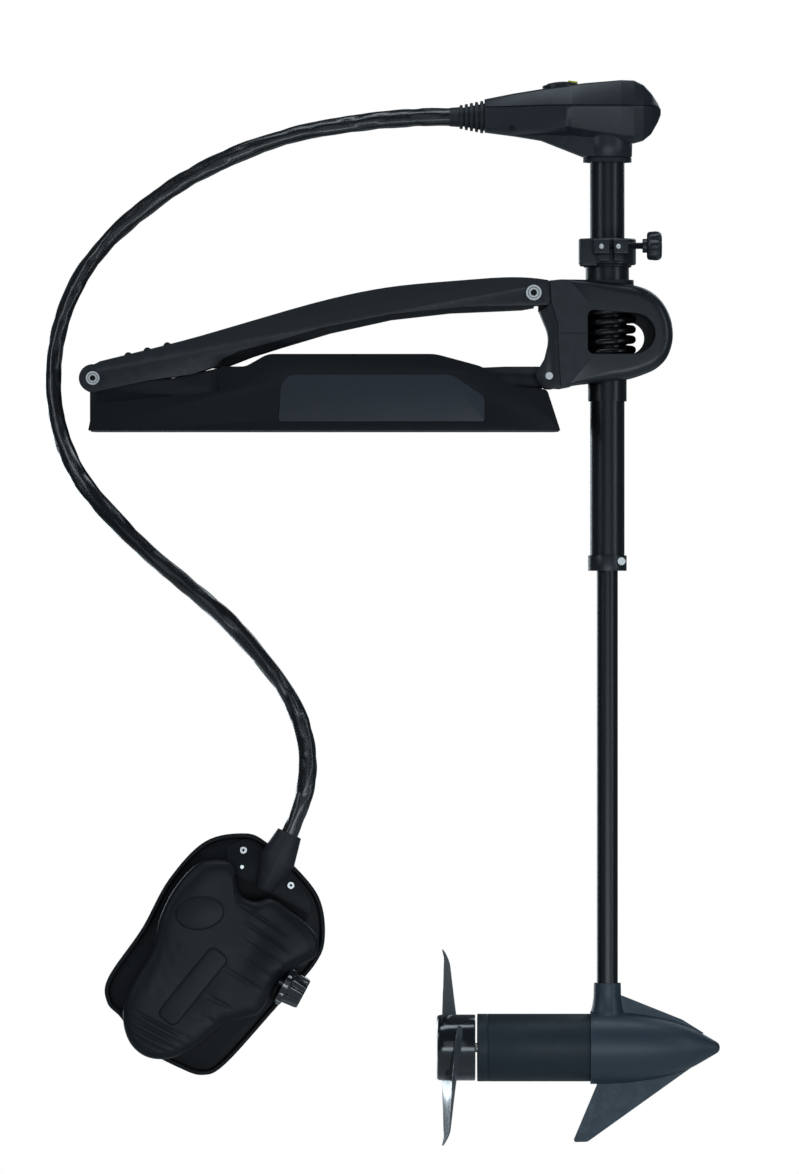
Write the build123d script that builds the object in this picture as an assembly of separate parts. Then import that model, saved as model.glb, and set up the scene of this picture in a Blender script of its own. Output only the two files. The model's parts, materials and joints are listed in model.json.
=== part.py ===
from build123d import *
import math
import os

# A bow-mounted, foot-steered electric trolling motor, deployed.
# Origin: middle of the mount's deck face. +Z up along the shaft, +X towards the bow,
# -Y towards the side that carries the cord and the foot pedal. Millimetres.

# ---- deck mount ----
base_length = 640.0
base_half_width = 75.0
base_plate_thickness = 8.0
base_plate_inset = 4.5
deck_gap = 0.5
bolt_spacing_x = 500.0
bolt_spacing_y = 110.0
deck_bolt_radius = 3.5
slot_half_width = 38.0
cover_wall = 3.5
cover_height = 104.0
cover_screw_radius = 2.5
cover_screw_y = 63.0
panel_recess = 1.2
panel_thickness = 1.0
panel_side_gap = 0.4
lug_inner = 24.0
lug_thickness = 5.0

# ---- folding arms ----
stern_pivot = (5.0 - base_length / 2, 72.0)
bow_pivot = (base_length / 2 - 36.5, 188.0)
link_pivot = (base_length / 2 - 15.5, 75.0)
link_inner_pivot = (73.0 - base_length / 2, 54.0)
arm_half_width = 35.0
arm_wall = 4.0
arm_boss_radius = 25.5
boss_gap = 1.0
pivot_pin_radius = 6.0
running_fit = 0.05
link_half_width = 17.0
link_side_gap = 0.8
link_half_height = 12.0
link_bolt_radius = 5.0

# ---- breakaway bracket ----
shaft_x = base_length / 2 + 64.0
housing_z = 132.0
housing_half_width = 46.0
yoke_half_width = 38.0
shell_gap = 0.3
hub_screw_radius = 2.5
hub_screw_depth = 14.0
breakaway_z = 201.0
breakaway_swing = 8.0
ball_radius = 36.0
ball_gap = 0.5
spring_wire = 11.0
spring_pitch = 13.9
spring_turns = 7.0
spring_mean_radius = 33.5
seat_relief = 5.0

# ---- column ----
outer_tube_radius = 23.4
outer_tube_bore = 17.0
inner_shaft_radius = 14.3
inner_shaft_bore = 9.5
sleeve_fit = 0.08
shaft_fit = 0.05
sleeve_wall = 2.9
sleeve_bottom_z = 41.0
sleeve_top_z = 223.0
collar_height = 39.0
collar_radius = 39.0
knob_stem_radius = 4.0
column_bottom_z = -168.5
column_top_z = 400.0
lower_collar_height = 21.0
lower_collar_wall = 2.9

# ---- control head ----
head_bottom_z = 372.0
head_seam_z = 442.0
head_wall = 3.0
head_half_width = 52.0
indicator_offset = 62.0
pulley_radius = 12.0
belt_thickness = 1.6
boot_length = 48.3
dial_radius = 24.0

# ---- lower unit ----
motor_z = -838.0
can_radius = 46.0
can_wall = 3.0
can_length = 139.5
can_rear_x = shaft_x - 162.5
rear_cap_length = 14.5
nose_length = 176.0
prop_gap = 2.7
prop_hub_length = 52.0
prop_hub_radius = 45.0
blade_radius = 134.0
prop_shaft_radius = 6.35

# ---- cord ----
cord_radius = 12.25
cord_start = shaft_x - 214.7
cord_route = [
    (cord_start, 0.0, 427.7), (cord_start - 57.3, 0.0, 427.7), (cord_start - 117.3, 1.0, 421.0),
    (cord_start - 174.3, 1.0, 413.0),
    (-62.0, 0.0, 399.0), (-127.0, 0.0, 375.0), (-193.0, 0.0, 342.0), (-248.0, -1.0, 303.0),
    (-295.0, -3.0, 261.0), (-331.0, -7.0, 215.0), (-357.0, -13.0, 158.0), (-369.0, -24.0, 98.0),
    (-368.0, -41.0, 40.0), (-356.0, -63.0, -12.0), (-335.0, -91.0, -60.0), (-290.0, -108.0, -115.0),
    (-238.0, -114.0, -166.0), (-182.0, -116.5, -212.0), (-131.0, -117.0, -255.0),
    (-91.0, -116.5, -300.0), (-57.0, -116.0, -342.0), (-34.0, -116.0, -385.0),
    (-23.0, -116.0, -428.0), (-22.0, -116.0, -470.0), (-31.0, -116.0, -509.0),
    (-47.0, -116.0, -544.0),
]

# ---- foot pedal ----
pedal_x = -137.4
pedal_z = -702.4
pedal_back_y = -92.0
pedal_lean = 28.0
pedal_floor = 8.0
pedal_pivot_height = 27.0
pedal_pivot_along = -28.0
toe_height = 5.0
treadle_bottom = 36.0
treadle_thickness = 22.0
treadle_pin_radius = 4.0
speed_knob_radius = 29.0
speed_knob_height = 31.0
knob_gap = 6.0


def block(x0, x1, y0, y1, z0, z1):
    """A box between two corners."""
    box = Box(x1 - x0, y1 - y0, z1 - z0)
    return Pos((x0 + x1) / 2, (y0 + y1) / 2, (z0 + z1) / 2) * box


def rod(radius, start, direction, length):
    """A cylinder that starts at a point and runs along a direction."""
    place = Plane(origin=start, z_dir=direction)
    return place * Cylinder(radius, length, align=(Align.CENTER, Align.CENTER, Align.MIN))


def ring(outer, inner, start, direction, length):
    """A plain bush or tube."""
    hole_start = Vector(start) - Vector(direction).normalized()
    return rod(outer, start, direction, length) - rod(inner, hole_start, direction, length + 2)


def turned(points, origin, direction):
    """A closed (along, radius) outline turned about an axis square to Y."""
    place = Plane(origin=origin, x_dir=direction, z_dir=(0, -1, 0))
    return revolve(place * make_face(Polyline(*points, close=True)), axis=Axis(origin, direction))


def facing(y_far):
    """The plane of a side view, drawn as (x, z), whose normal points to the near side."""
    return Plane(origin=(0, y_far, 0), x_dir=(1, 0, 0), z_dir=(0, -1, 0))


def rounded_face(points, radii):
    """A closed outline with an arc at each corner, no larger than its two sides allow."""
    edges = []
    arcs = []
    for k, point in enumerate(points):
        here = Vector(*point)
        back = Vector(*points[k - 1]) - here
        ahead = Vector(*points[(k + 1) % len(points)]) - here
        half_turn = math.radians(180 - back.get_angle(ahead)) / 2
        reach = min(radii[k] * math.tan(half_turn), 0.48 * min(back.length, ahead.length))
        bulge = reach / math.tan(half_turn) * (1 / math.cos(half_turn) - 1)
        middle = here + (back.normalized() + ahead.normalized()).normalized() * bulge
        arcs.append((here + back.normalized() * reach, middle, here + ahead.normalized() * reach))
        if reach > 0:
            edges.append(Edge.make_three_point_arc(*arcs[-1]))
    for k, arc in enumerate(arcs):
        edges.append(Edge.make_line(arcs[k - 1][2], arc[0]))
    return make_face(edges)


def slab(points, radii, y_near, y_far):
    """A side-view outline with rounded corners, as thick as the space between two Y values."""
    face = rounded_face(points, radii)
    return extrude(facing(y_far) * face, amount=y_far - y_near)


def cross_rod(radius, centre, y_near, y_far):
    """A cylinder along Y through a point of the side view."""
    return rod(radius, (centre[0], y_near, centre[1]), (0, 1, 0), y_far - y_near)


def both_sides(piece):
    """A piece and its mirror image about the middle plane, as separate solids."""
    return Compound(children=[*piece.solids(), *mirror(piece, about=Plane.XZ).solids()])


def shifted(points, centre):
    """Outline points given from a centre."""
    return [(centre[0] + x, centre[1] + z) for x, z in points]


def group(*pieces):
    """Separate solids that share one node."""
    return Compound(children=[s for piece in pieces for s in piece.solids()])


def save(name, part):
    """Write one node."""
    os.makedirs("parts", exist_ok=True)
    solids = part.solids()
    whole = solids[0] if len(solids) == 1 else Compound(children=list(solids))
    export_step(whole, os.path.join("parts", name + ".step"))


# ------------------------------------------------------------------ deck mount
base_left = -base_length / 2
base_right = base_length / 2
bolt_places = [
    (sx * bolt_spacing_x / 2, sy * bolt_spacing_y / 2) for sx in (-1, 1) for sy in (-1, 1)
]
cover_screw_places = (base_left + 30, base_left + 215, base_right - 100)


def cover_outline(inset):
    """Side view of a base cover: low under the arm's pivot, then a shoulder and a long top."""
    step = base_left + 177
    points = [
        (base_left + inset, deck_gap - inset),
        (base_left + 7 + inset, 36 - inset),
        (step - inset, 54 - inset),
        (step + inset, 87 - inset),
        (step + 36, 87 - inset),
        (step + 66, cover_height - inset),
        (base_right - 170, cover_height - inset),
        (base_right - 107, 87 - inset),
        (base_right - 64 - inset, 60 - inset),
        (base_right - 19 - inset, 56 - inset),
        (base_right - 1 - inset, deck_gap - inset),
    ]
    return points, [0.5, 8, 4, 5, 22, 30, 60, 60, 18, 8, 0.5]


def plate_blank(gap):
    """The deck plate's block, grown by a gap where it cuts the covers."""
    half = base_half_width - base_plate_inset + gap
    left = base_left + base_plate_inset - gap
    right = base_right - 1 - base_plate_inset + gap
    return block(left, right, -half, half, 0, base_plate_thickness)


def base_plate():
    plate = plate_blank(0)
    plate = fillet(plate.edges().filter_by(Axis.Z), 2)
    for x, y in bolt_places:
        plate -= rod(deck_bolt_radius, (x, y, -1), (0, 0, 1), base_plate_thickness + 2)
    for x in cover_screw_places:
        hole = rod(cover_screw_radius, (x, -cover_screw_y, -1), (0, 0, 1), base_plate_thickness + 2)
        hole += rod(cover_screw_radius * 2 + 0.3, (x, -cover_screw_y, -1), (0, 0, 1), 3.2)
        plate -= both_sides(hole)
    return plate


def side_cover():
    """The near cover: a shell open inwards, with a recess for its panel."""
    points, radii = cover_outline(0)
    cover = slab(points, radii, -base_half_width, -slot_half_width)
    inner_points, inner_radii = cover_outline(cover_wall)
    inner = slab(inner_points, inner_radii, cover_wall - base_half_width, -slot_half_width - cover_wall)
    recess = panel_shape(0, -base_half_width - 1, panel_recess - base_half_width)
    for x, y in bolt_places:
        if y < 0:
            inner += rod(deck_bolt_radius * 2, (x, y, base_plate_thickness - 1), (0, 0, 1), 8)
    cover -= inner
    for x in cover_screw_places:
        post = block(x - 6, x + 6, -base_half_width + 1, 8 - cover_screw_y, base_plate_thickness, 30)
        cover += post - rod(cover_screw_radius, (x, -cover_screw_y, 0), (0, 0, 1), 26)
    return cover - plate_blank(0.4) - recess


def panel_shape(inset, y_near, y_far):
    left = base_left + 257 + inset
    right = base_right - 103 - inset
    bottom = base_plate_thickness + 4 + inset
    top = cover_height - 27 - inset
    points = [(left, bottom), (left + 4, top), (right - 44, top), (right, bottom + 34), (right, bottom)]
    return slab(points, [3, 22, 24, 12, 3], y_near, y_far)


def label_panel():
    front = panel_recess - panel_thickness - base_half_width
    return panel_shape(panel_side_gap, front, panel_recess - base_half_width)


def base_channel():
    """The structural channel: floor, two walls and the lugs of the stern pivot."""
    floor = block(
        base_left + 6, base_right - 30, -lug_inner - lug_thickness, lug_inner + lug_thickness,
        base_plate_thickness, base_plate_thickness + 5,
    )
    sx, sz = stern_pivot
    low = 40.0
    profile = [
        (base_left + 6, base_plate_thickness), (sx + 4, sz - 8), (sx + 110, sz), (sx + 172, sz + 14),
        (sx + 200, sz + 14), (sx + 230, low), (base_right - 45, low),
        (base_right - 45, base_plate_thickness),
    ]
    wall = slab(profile, [0, 0, 20, 6, 6, 20, 6, 0], -lug_inner - lug_thickness, -lug_inner)
    stem = block(sx - 4, sx + 15, -lug_inner - lug_thickness, -lug_inner, base_plate_thickness, sz)
    lug = cross_rod(15, stern_pivot, -lug_inner - lug_thickness, -lug_inner)
    side = wall + stem + lug
    side -= cross_rod(pivot_pin_radius, stern_pivot, -arm_half_width, 0)
    return floor + side + mirror(side, about=Plane.XZ)


def stern_bolt():
    """The stern pivot bolt: shank, socket head near, nut far."""
    near = -arm_half_width - 0.6
    shank = cross_rod(pivot_pin_radius, stern_pivot, near - 1, arm_half_width + 8)
    head = cross_rod(9.2, stern_pivot, near - 6, near)
    socket = Plane(origin=(stern_pivot[0], near - 7, stern_pivot[1]), z_dir=(0, 1, 0))
    hexagon = extrude(socket * RegularPolygon(3.6, 6), amount=5)
    return shank + head - hexagon


def stern_nut():
    place = Plane(origin=(stern_pivot[0], arm_half_width + 0.6, stern_pivot[1]), z_dir=(0, 1, 0))
    nut = extrude(place * RegularPolygon(10, 6), amount=6)
    return nut - cross_rod(pivot_pin_radius, stern_pivot, 0, arm_half_width + 20)


def cover_screws():
    """Three screws from below the plate into the posts of each cover."""
    screws = []
    for x in cover_screw_places:
        head = rod(cover_screw_radius * 2, (x, -cover_screw_y, 0.2), (0, 0, 1), 2)
        screws.append(head + rod(cover_screw_radius, (x, -cover_screw_y, 0.2), (0, 0, 1), 24))
    return both_sides(group(*screws))


# ------------------------------------------------------------------ folding arms
def arm_top(drop):
    """The arch of the upper arm from the stern boss to the bow boss."""
    sx, sz = stern_pivot
    bx, bz = bow_pivot
    return [
        (sx + 10, sz + 23 - drop), (sx + 47, sz + 32 - drop), (sx + 134, sz + 54 - drop),
        (sx + 308, bz - 12 - drop), (bx - 193, bz + 8 - drop), (bx - 96, bz + 17 - drop),
        (bx + 1, bz + 19.7 - drop), (bx + 20, bz + 17 - drop),
    ]


def upper_arm():
    """A U section open below, with a boss at each end and three grips over the stern pivot."""
    sx, sz = stern_pivot
    bx, bz = bow_pivot
    low = [
        (bx + 19.5, bz - 16.4), (bx - 96, bz - 19), (bx - 193, bz - 29), (bx - 290, bz - 48),
        (sx + 231, sz + 45), (sx + 199, sz + 37), (sx + 177, sz + 26), (sx + 166, sz + 16),
        (sx + 134, sz + 5), (sx + 75, sz - 3), (sx + 20, sz - 15), (sx + 2, sz - 18.9),
    ]
    top = arm_top(0)
    end_arc = ThreePointArc(low[-1], (sx - 18.9, sz), (sx + 2, sz + 18.9))
    lead = Line((sx + 2, sz + 18.9), top[0])
    crown = Spline(*top)
    nose = ThreePointArc(top[-1], (bx + arm_boss_radius, bz), low[0])
    belly = Polyline(*low)
    face = make_face([end_arc, lead, crown, nose, belly])
    arm = extrude(facing(arm_half_width) * face, amount=2 * arm_half_width)
    web = arm_wall - 0.5
    under = Spline(*arm_top(web))
    first, last = arm_top(web)[0], arm_top(web)[-1]
    outline = Polyline(
        last, (bx + 40, last[1]), (bx + 40, sz - 60), (sx - 40, sz - 60), (sx - 40, sz + 30),
        (sx, sz + 30), (sx, first[1] - 3), first,
    )
    inner_half = arm_half_width - arm_wall
    cavity = extrude(facing(inner_half) * make_face([under, outline]), amount=2 * inner_half)
    arm -= cavity
    for along, rise in ((48, 32.5), (74, 39), (101, 46)):
        grip = rod(5.5, (sx + along, -22, sz + rise - 2.5), (0, 1, 0), 44)
        arm += grip - cavity
    for centre in (stern_pivot, bow_pivot):
        arm -= cross_rod(pivot_pin_radius + 2.5, centre, -arm_half_width - 1, arm_half_width + 1)
    return arm


def arm_bushes():
    """Plain bushes pressed into the four eyes of the upper arm."""
    inner_half = arm_half_width - arm_wall
    bore = pivot_pin_radius + running_fit
    pieces = []
    for x, z in (stern_pivot, bow_pivot):
        bush = ring(pivot_pin_radius + 2.5, bore, (x, -arm_half_width, z), (0, 1, 0), arm_wall)
        pieces += [bush, mirror(bush, about=Plane.XZ)]
    return group(*pieces)


def lower_link():
    """The lower arm: eye at the bow pin, deep nose and a slim tail inside the base."""
    lx, lz = link_pivot
    ix, iz = link_inner_pivot
    points = [
        (lx - 2, lz - 14), (lx + 2, lz + 13), (lx - 60, lz + 13), (lx - 130, lz + 10), (ix, iz + 12),
        (ix - 12, iz), (ix, iz - 12), (lx - 130, lz - 14), (lx - 60, lz - 15),
    ]
    link = slab(points, [0, 0, 20, 20, 8, 8, 8, 20, 20], -link_half_width, link_half_width)
    link += cross_rod(14, link_pivot, -link_half_width, link_half_width)
    link -= cross_rod(link_bolt_radius + running_fit, link_pivot, -yoke_half_width, yoke_half_width)
    return link - cross_rod(link_bolt_radius, link_inner_pivot, -yoke_half_width, yoke_half_width)


def link_tail_pin():
    return cross_rod(link_bolt_radius, link_inner_pivot, -link_half_width - 3, link_half_width + 3)


# ------------------------------------------------------------------ breakaway bracket
def housing_outline():
    """Side view of the hub housing, from its centre on the shaft."""
    points = [
        (-79, 72.5), (-64, 74), (47, 62), (66, 51), (82, 30), (89, -3), (83, -32),
        (69, -47), (57, -55), (43, -57), (29, -63), (-26, -67.5), (-64, -73.5), (-59, -69),
        (-66, -44), (-68, -12), (-68, 12), (-77, 43),
    ]
    radii = [2, 6, 30, 22, 26, 40, 26, 18, 8, 8, 10, 20, 2, 8, 20, 10, 10, 20]
    return shifted(points, (shaft_x, housing_z)), radii


def long_hole(half_x, half_y, z0, z1):
    """A slot along X through the shaft's line."""
    straight = half_x - half_y
    middle = block(shaft_x - straight, shaft_x + straight, -half_y, half_y, z0, z1)
    ends = [rod(half_y, (shaft_x + s * straight, 0, z0), (0, 0, 1), z1 - z0) for s in (-1, 1)]
    return middle + ends[0] + ends[1]


def window_shape(y_near, y_far):
    """The see-through window beside the spring: square shoulders aft, a half ellipse forward."""
    left = shaft_x - 27
    right = shaft_x + 34
    top = housing_z + 32
    bottom = housing_z - 27
    points = [(left, bottom), (left, top), (right, top - 4), (right, bottom)]
    body = slab(points, [8, 8, 0, 0], y_near, y_far)
    middle = (top - 4 + bottom) / 2
    half = (top - 4 - bottom) / 2
    face = Pos(right, middle) * Ellipse(30, half)
    return body + extrude(facing(y_far) * face, amount=y_far - y_near)


def hub_shell():
    """The near half of the housing, hollow round the spring."""
    points, radii = housing_outline()
    shell = slab(points, radii, -housing_half_width, 0)
    swing = breakaway_swing
    sleeve_radius = outer_tube_radius + sleeve_wall
    spring_space = spring_mean_radius + spring_wire / 2 + 1.5
    shell -= long_hole(spring_space + swing, spring_space, housing_z - 60.5, housing_z + 60.5)
    shell -= rod(ball_radius + ball_gap, (shaft_x, 0, housing_z), (0, 0, 1), 100)
    shell -= long_hole(sleeve_radius + swing + 0.7, sleeve_radius + 0.7, housing_z - 90, housing_z)
    pocket_right = shaft_x - 50
    shell -= block(
        0, pocket_right, -yoke_half_width - shell_gap, yoke_half_width + shell_gap,
        housing_z - 80, housing_z + 66,
    )
    shell -= cross_rod(arm_boss_radius + 3, bow_pivot, -90, 90)
    return shell - window_shape(-90, 90)


def bracket_yoke():
    """The crescent casting that joins the bow pivot, the lower link's pin and the housing."""
    bx, bz = bow_pivot
    lx, lz = link_pivot
    right = shaft_x - 50.3
    points = [
        (bx + 30, bz - 2), (bx + 4, bz - 20), (bx + 8, bz - 26), (lx + 1, housing_z - 4),
        (lx - 6, lz + 24), (lx - 13, lz + 12), (lx - 13, lz - 12), (lx, lz - 16), (lx + 14, lz - 17),
        (right, lz - 14), (right, housing_z + 65), (bx + 27, housing_z + 65),
    ]
    radii = [2, 4, 8, 60, 8, 0, 0, 0, 0, 1, 1, 2]
    yoke = slab(points, radii, -yoke_half_width, yoke_half_width)
    yoke += cross_rod(17.5, link_pivot, -yoke_half_width, yoke_half_width)
    yoke -= cross_rod(arm_boss_radius + boss_gap, bow_pivot, -60, 60)
    tongue_half = arm_half_width - arm_wall - 1
    tongue = cross_rod(15, bow_pivot, -tongue_half, tongue_half)
    tongue += block(bx, right, -tongue_half, tongue_half, bz - 12, bz + 8)
    yoke += tongue
    yoke -= cross_rod(pivot_pin_radius, bow_pivot, -60, 60)
    slot_half = link_half_width + link_side_gap
    slot = cross_rod(16, link_pivot, -slot_half, slot_half)
    slot += block(lx - 60, lx, -slot_half, slot_half, lz - 50, lz + 16)
    yoke -= slot
    return yoke - cross_rod(link_bolt_radius, link_pivot, -60, 60)


def hub_shells(side):
    shell = hub_shell() if side < 0 else mirror(hub_shell(), about=Plane.XZ)
    for x, z in hub_screw_places():
        shell -= rod(hub_screw_radius, (x, -hub_screw_depth, z), (0, 1, 0), 2 * housing_half_width)
    return shell


def hub_screw_places():
    return shifted([(62, 40), (62, -40)], (shaft_x, housing_z))


def hub_screws():
    """Two long screws from the far half of the housing into the near half."""
    screws = []
    for x, z in hub_screw_places():
        reach = housing_half_width + hub_screw_depth
        shank = rod(hub_screw_radius, (x, -hub_screw_depth, z), (0, 1, 0), reach)
        head = rod(hub_screw_radius * 2, (x, housing_half_width, z), (0, 1, 0), 2)
        screws.append(shank + head)
    return group(*screws)


def bow_bolt():
    """The bow pivot bolt, fixed in the yoke's tongue, with a washer head near and a nut far."""
    shank = cross_rod(pivot_pin_radius, bow_pivot, -arm_half_width - 2, arm_half_width + 6)
    head = cross_rod(10.5, bow_pivot, -arm_half_width - 5, -arm_half_width - 0.6)
    socket = Plane(origin=(bow_pivot[0], -arm_half_width - 6, bow_pivot[1]), z_dir=(0, 1, 0))
    nut_place = Plane(origin=(bow_pivot[0], arm_half_width + 0.6, bow_pivot[1]), z_dir=(0, 1, 0))
    nut = extrude(nut_place * RegularPolygon(10, 6), amount=5)
    return shank + head + nut - extrude(socket * RegularPolygon(3.6, 6), amount=4)


def link_pin():
    """The pin of the lower link, flush with the yoke's cheeks."""
    return cross_rod(link_bolt_radius, link_pivot, -yoke_half_width - 0.8, yoke_half_width + 0.8)


# ------------------------------------------------------------------ breakaway hub
def guide_sleeve():
    bore = outer_tube_radius + sleeve_fit
    outer = outer_tube_radius + sleeve_wall
    ledge = breakaway_z + 5
    points = [
        (sleeve_bottom_z, bore), (sleeve_bottom_z, outer), (ledge, outer),
        (ledge, outer + 3.2), (sleeve_top_z, outer + 3.2), (sleeve_top_z, bore),
    ]
    return turned(points, (shaft_x, 0, 0), (0, 0, 1))


def seal_ring():
    """A ball-faced ring that lets the sleeve tilt in the housing's top."""
    ball = Pos(shaft_x, 0, breakaway_z) * Sphere(ball_radius)
    layer = block(shaft_x - 50, shaft_x + 50, -50, 50, breakaway_z - 5, breakaway_z + 5)
    bore = rod(outer_tube_radius + sleeve_wall, (shaft_x, 0, 0), (0, 0, 1), 400)
    return (ball & layer) - bore


def spring_seat(z):
    outer = spring_mean_radius + spring_wire / 2 - seat_relief
    return ring(outer, outer_tube_radius + sleeve_wall, (shaft_x, 0, z), (0, 0, 1), 4)


def spring_seats():
    pieces = [spring_seat(spring_bottom() - 4), spring_seat(spring_top())]
    return group(*pieces)


def spring_bottom():
    return housing_z - (spring_turns * spring_pitch + spring_wire) / 2


def spring_top():
    return spring_bottom() + spring_turns * spring_pitch + spring_wire


def coil_spring():
    start = spring_bottom() + spring_wire / 2
    path = Helix(
        pitch=spring_pitch, height=spring_turns * spring_pitch, radius=spring_mean_radius,
        center=(shaft_x, 0, start),
    )
    profile = Plane(origin=path @ 0, z_dir=path % 0) * Circle(spring_wire / 2)
    return sweep(profile, path=path, is_frenet=True)


def depth_collar():
    """A clamp collar with a slit and two ears on its near side."""
    bore = outer_tube_radius + sleeve_fit
    z = sleeve_top_z
    middle = z + collar_height * 0.72
    collar = ring(collar_radius - 6, bore, (shaft_x, 0, z), (0, 0, 1), collar_height)
    collar += ring(collar_radius, bore, (shaft_x, 0, z + 12), (0, 0, 1), collar_height - 12)
    ears = block(shaft_x - 18, shaft_x + 28, -collar_radius - 16, -30, middle - 12, middle + 12)
    collar += ears - rod(bore + 1, (shaft_x, 0, z), (0, 0, 1), collar_height)
    collar -= block(shaft_x + 3, shaft_x + 7, -90, 0, z - 1, z + collar_height + 1)
    return collar - rod(knob_stem_radius, knob_centre(-40), (1, 0, 0), 90)


def knob_centre(along):
    return (shaft_x + along, -collar_radius - 7, sleeve_top_z + collar_height * 0.72)


def depth_knob():
    """The collar's thumbscrew with its two-winged grip."""
    stem = rod(knob_stem_radius - running_fit, knob_centre(-14), (1, 0, 0), 66)
    sleeve = rod(8, knob_centre(28.6), (1, 0, 0), 22)
    grip = rod(12, knob_centre(49), (1, 0, 0), 24)
    x, y, z = knob_centre(51)
    for side in (-1, 1):
        grip += rod(9.5, (x, y, z + side * 10.5), (1, 0, 0), 20)
    return stem + sleeve + grip


# ------------------------------------------------------------------ column
def outer_tube():
    length = column_top_z - column_bottom_z + 12
    start = (shaft_x, 0, column_bottom_z - 12)
    return ring(outer_tube_radius, outer_tube_bore, start, (0, 0, 1), length)


def shaft_bushes():
    bore = inner_shaft_radius + shaft_fit
    pieces = []
    for z in (column_bottom_z + 4, column_top_z - 44):
        pieces.append(ring(outer_tube_bore, bore, (shaft_x, 0, z), (0, 0, 1), 36))
    return group(*pieces)


def lower_collar():
    bottom = column_bottom_z - lower_collar_height
    outer = outer_tube_radius + lower_collar_wall
    bore = inner_shaft_radius + 0.4
    points = [
        (bottom, bore), (bottom, outer), (column_bottom_z, outer),
        (column_bottom_z, outer_tube_radius), (column_bottom_z - 12, outer_tube_radius),
        (column_bottom_z - 12, bore),
    ]
    collar = turned(points, (shaft_x, 0, 0), (0, 0, 1))
    x, z = lower_collar_screw_place()
    return collar - rod(3, (x, -60, z), (0, 1, 0), 45)


def lower_collar_screw_place():
    return (shaft_x + 19, column_bottom_z - 8)


def lower_collar_screw():
    x, z = lower_collar_screw_place()
    head = rod(5.2, (x, -24, z), (0, 1, 0), 4)
    keep_out = rod(outer_tube_radius + lower_collar_wall, (shaft_x, 0, -300), (0, 0, 1), 200)
    stem = rod(3, (x, -22, z), (0, 1, 0), 5)
    return (head - keep_out) + (stem - rod(outer_tube_radius, (shaft_x, 0, -300), (0, 0, 1), 300))


# ------------------------------------------------------------------ control head
def head_profile(inset):
    """Side view of the head: slim at the cord, deep over the shaft."""
    x = shaft_x
    s = head_seam_z
    neck = head_bottom_z
    i = inset
    points = [
        (x - 166.5 + i, s - 35 + i), (x - 166.5 + i, s + 9 - i), (x - 83, s + 27 - i),
        (x - 30, s + 32 - i), (x + 20, s + 36 - i), (x + 40, s + 34 - i), (x + 58, s + 18 - i),
        (x + 73 - i, s - 6), (x + 62 - i, s - 36), (x + 50 - i, neck + 20 + i), (x + 34, neck + 18 + i),
        (x + 33, neck + i), (x - 30, neck + i), (x - 115, neck + 27 + i),
    ]
    return points, [4, 4, 30, 20, 14, 10, 18, 12, 16, 8, 2, 1, 8, 20]


def head_plan(inset):
    """Top view of the head."""
    x = shaft_x
    w = head_half_width - inset
    points = [
        (x - 167.5 + inset, -24 + inset), (x - 90, -38 + inset), (x - 40, -w), (x + 35, -w),
        (x + 74 - inset, -20), (x + 74 - inset, 20), (x + 35, w), (x - 40, w), (x - 90, 38 - inset),
        (x - 167.5 + inset, 24 - inset),
    ]
    face = rounded_face(points, [4, 40, 40, 30, 16, 16, 30, 40, 40, 4])
    return extrude(Pos(0, 0, head_bottom_z - 10) * face, amount=130)


def head_solid(inset):
    points, radii = head_profile(inset)
    return slab(points, radii, -60, 60) & head_plan(inset)


def head_shell(upper):
    low, high = (head_seam_z, 600) if upper else (300, head_seam_z)
    layer = block(0, 600, -90, 90, low, high)
    shell = (head_solid(0) - head_solid(head_wall)) & layer
    if upper:
        shell -= rod(dial_radius + 0.4, dial_centre(-40), (0, 0, 1), 120)
    else:
        shell -= rod(outer_tube_radius, (shaft_x, 0, 300), (0, 0, 1), 120)
        shell += ring(outer_tube_radius + 9, outer_tube_radius, (shaft_x, 0, head_bottom_z), (0, 0, 1), 24)
    shell -= rod(cord_radius, (shaft_x - 200, 0, cord_route[0][2]), (1, 0, 0), 60)
    return shell


def dial_centre(rise):
    return (shaft_x - indicator_offset, 0, head_seam_z + rise)


def neck_ring():
    """The moulded ring that the tube enters, under the head."""
    outer = outer_tube_radius + 9.5
    return ring(outer, outer_tube_radius, (shaft_x, 0, head_bottom_z - 6), (0, 0, 1), 6)


def direction_indicator():
    """A domed pointer disc on a stem, with the pulley that the belt turns."""
    disc = rod(dial_radius, dial_centre(24), (0, 0, 1), 6)
    dome = Pos(*dial_centre(-8)) * Sphere(43)
    cap = rod(dial_radius, dial_centre(30), (0, 0, 1), 10) & dome
    stem = rod(4, dial_centre(-20), (0, 0, 1), 45)
    pulley = rod(pulley_radius, dial_centre(-17), (0, 0, 1), 8)
    return disc + cap + stem + pulley


def indicator_pointer():
    x, y, z = dial_centre(34.6)
    return block(x + 12, x + 20, -2.5, 2.5, z - 6, z + 0.6) - (
        rod(dial_radius, dial_centre(24), (0, 0, 1), 10) & (Pos(*dial_centre(-8)) * Sphere(43))
    )


def indicator_belt():
    """The belt that carries the shaft's turn to the indicator."""
    inner = pulley_radius + 0.1
    outer = inner + belt_thickness
    z = head_seam_z - 16
    far = (shaft_x - indicator_offset, 0, z)
    near = (shaft_x, 0, z)
    loop = rod(outer, far, (0, 0, 1), 6) + rod(outer, near, (0, 0, 1), 6)
    loop += block(far[0], near[0], -outer, outer, z, z + 6)
    hole = rod(inner, far, (0, 0, 1), 6) + rod(inner, near, (0, 0, 1), 6)
    hole += block(far[0], near[0], -inner, inner, z, z + 6)
    return loop - hole


def indicator_bearing():
    return ring(9, 4 + running_fit, dial_centre(-28), (0, 0, 1), 8) + block(
        dial_centre(0)[0] - 9, dial_centre(0)[0] + 9, -9, 9, head_seam_z - 34, head_seam_z - 28
    )


def control_board():
    x = shaft_x - 128
    return block(x, x + 40, -22, 22, head_seam_z + 4, head_seam_z + 5.6)


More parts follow.
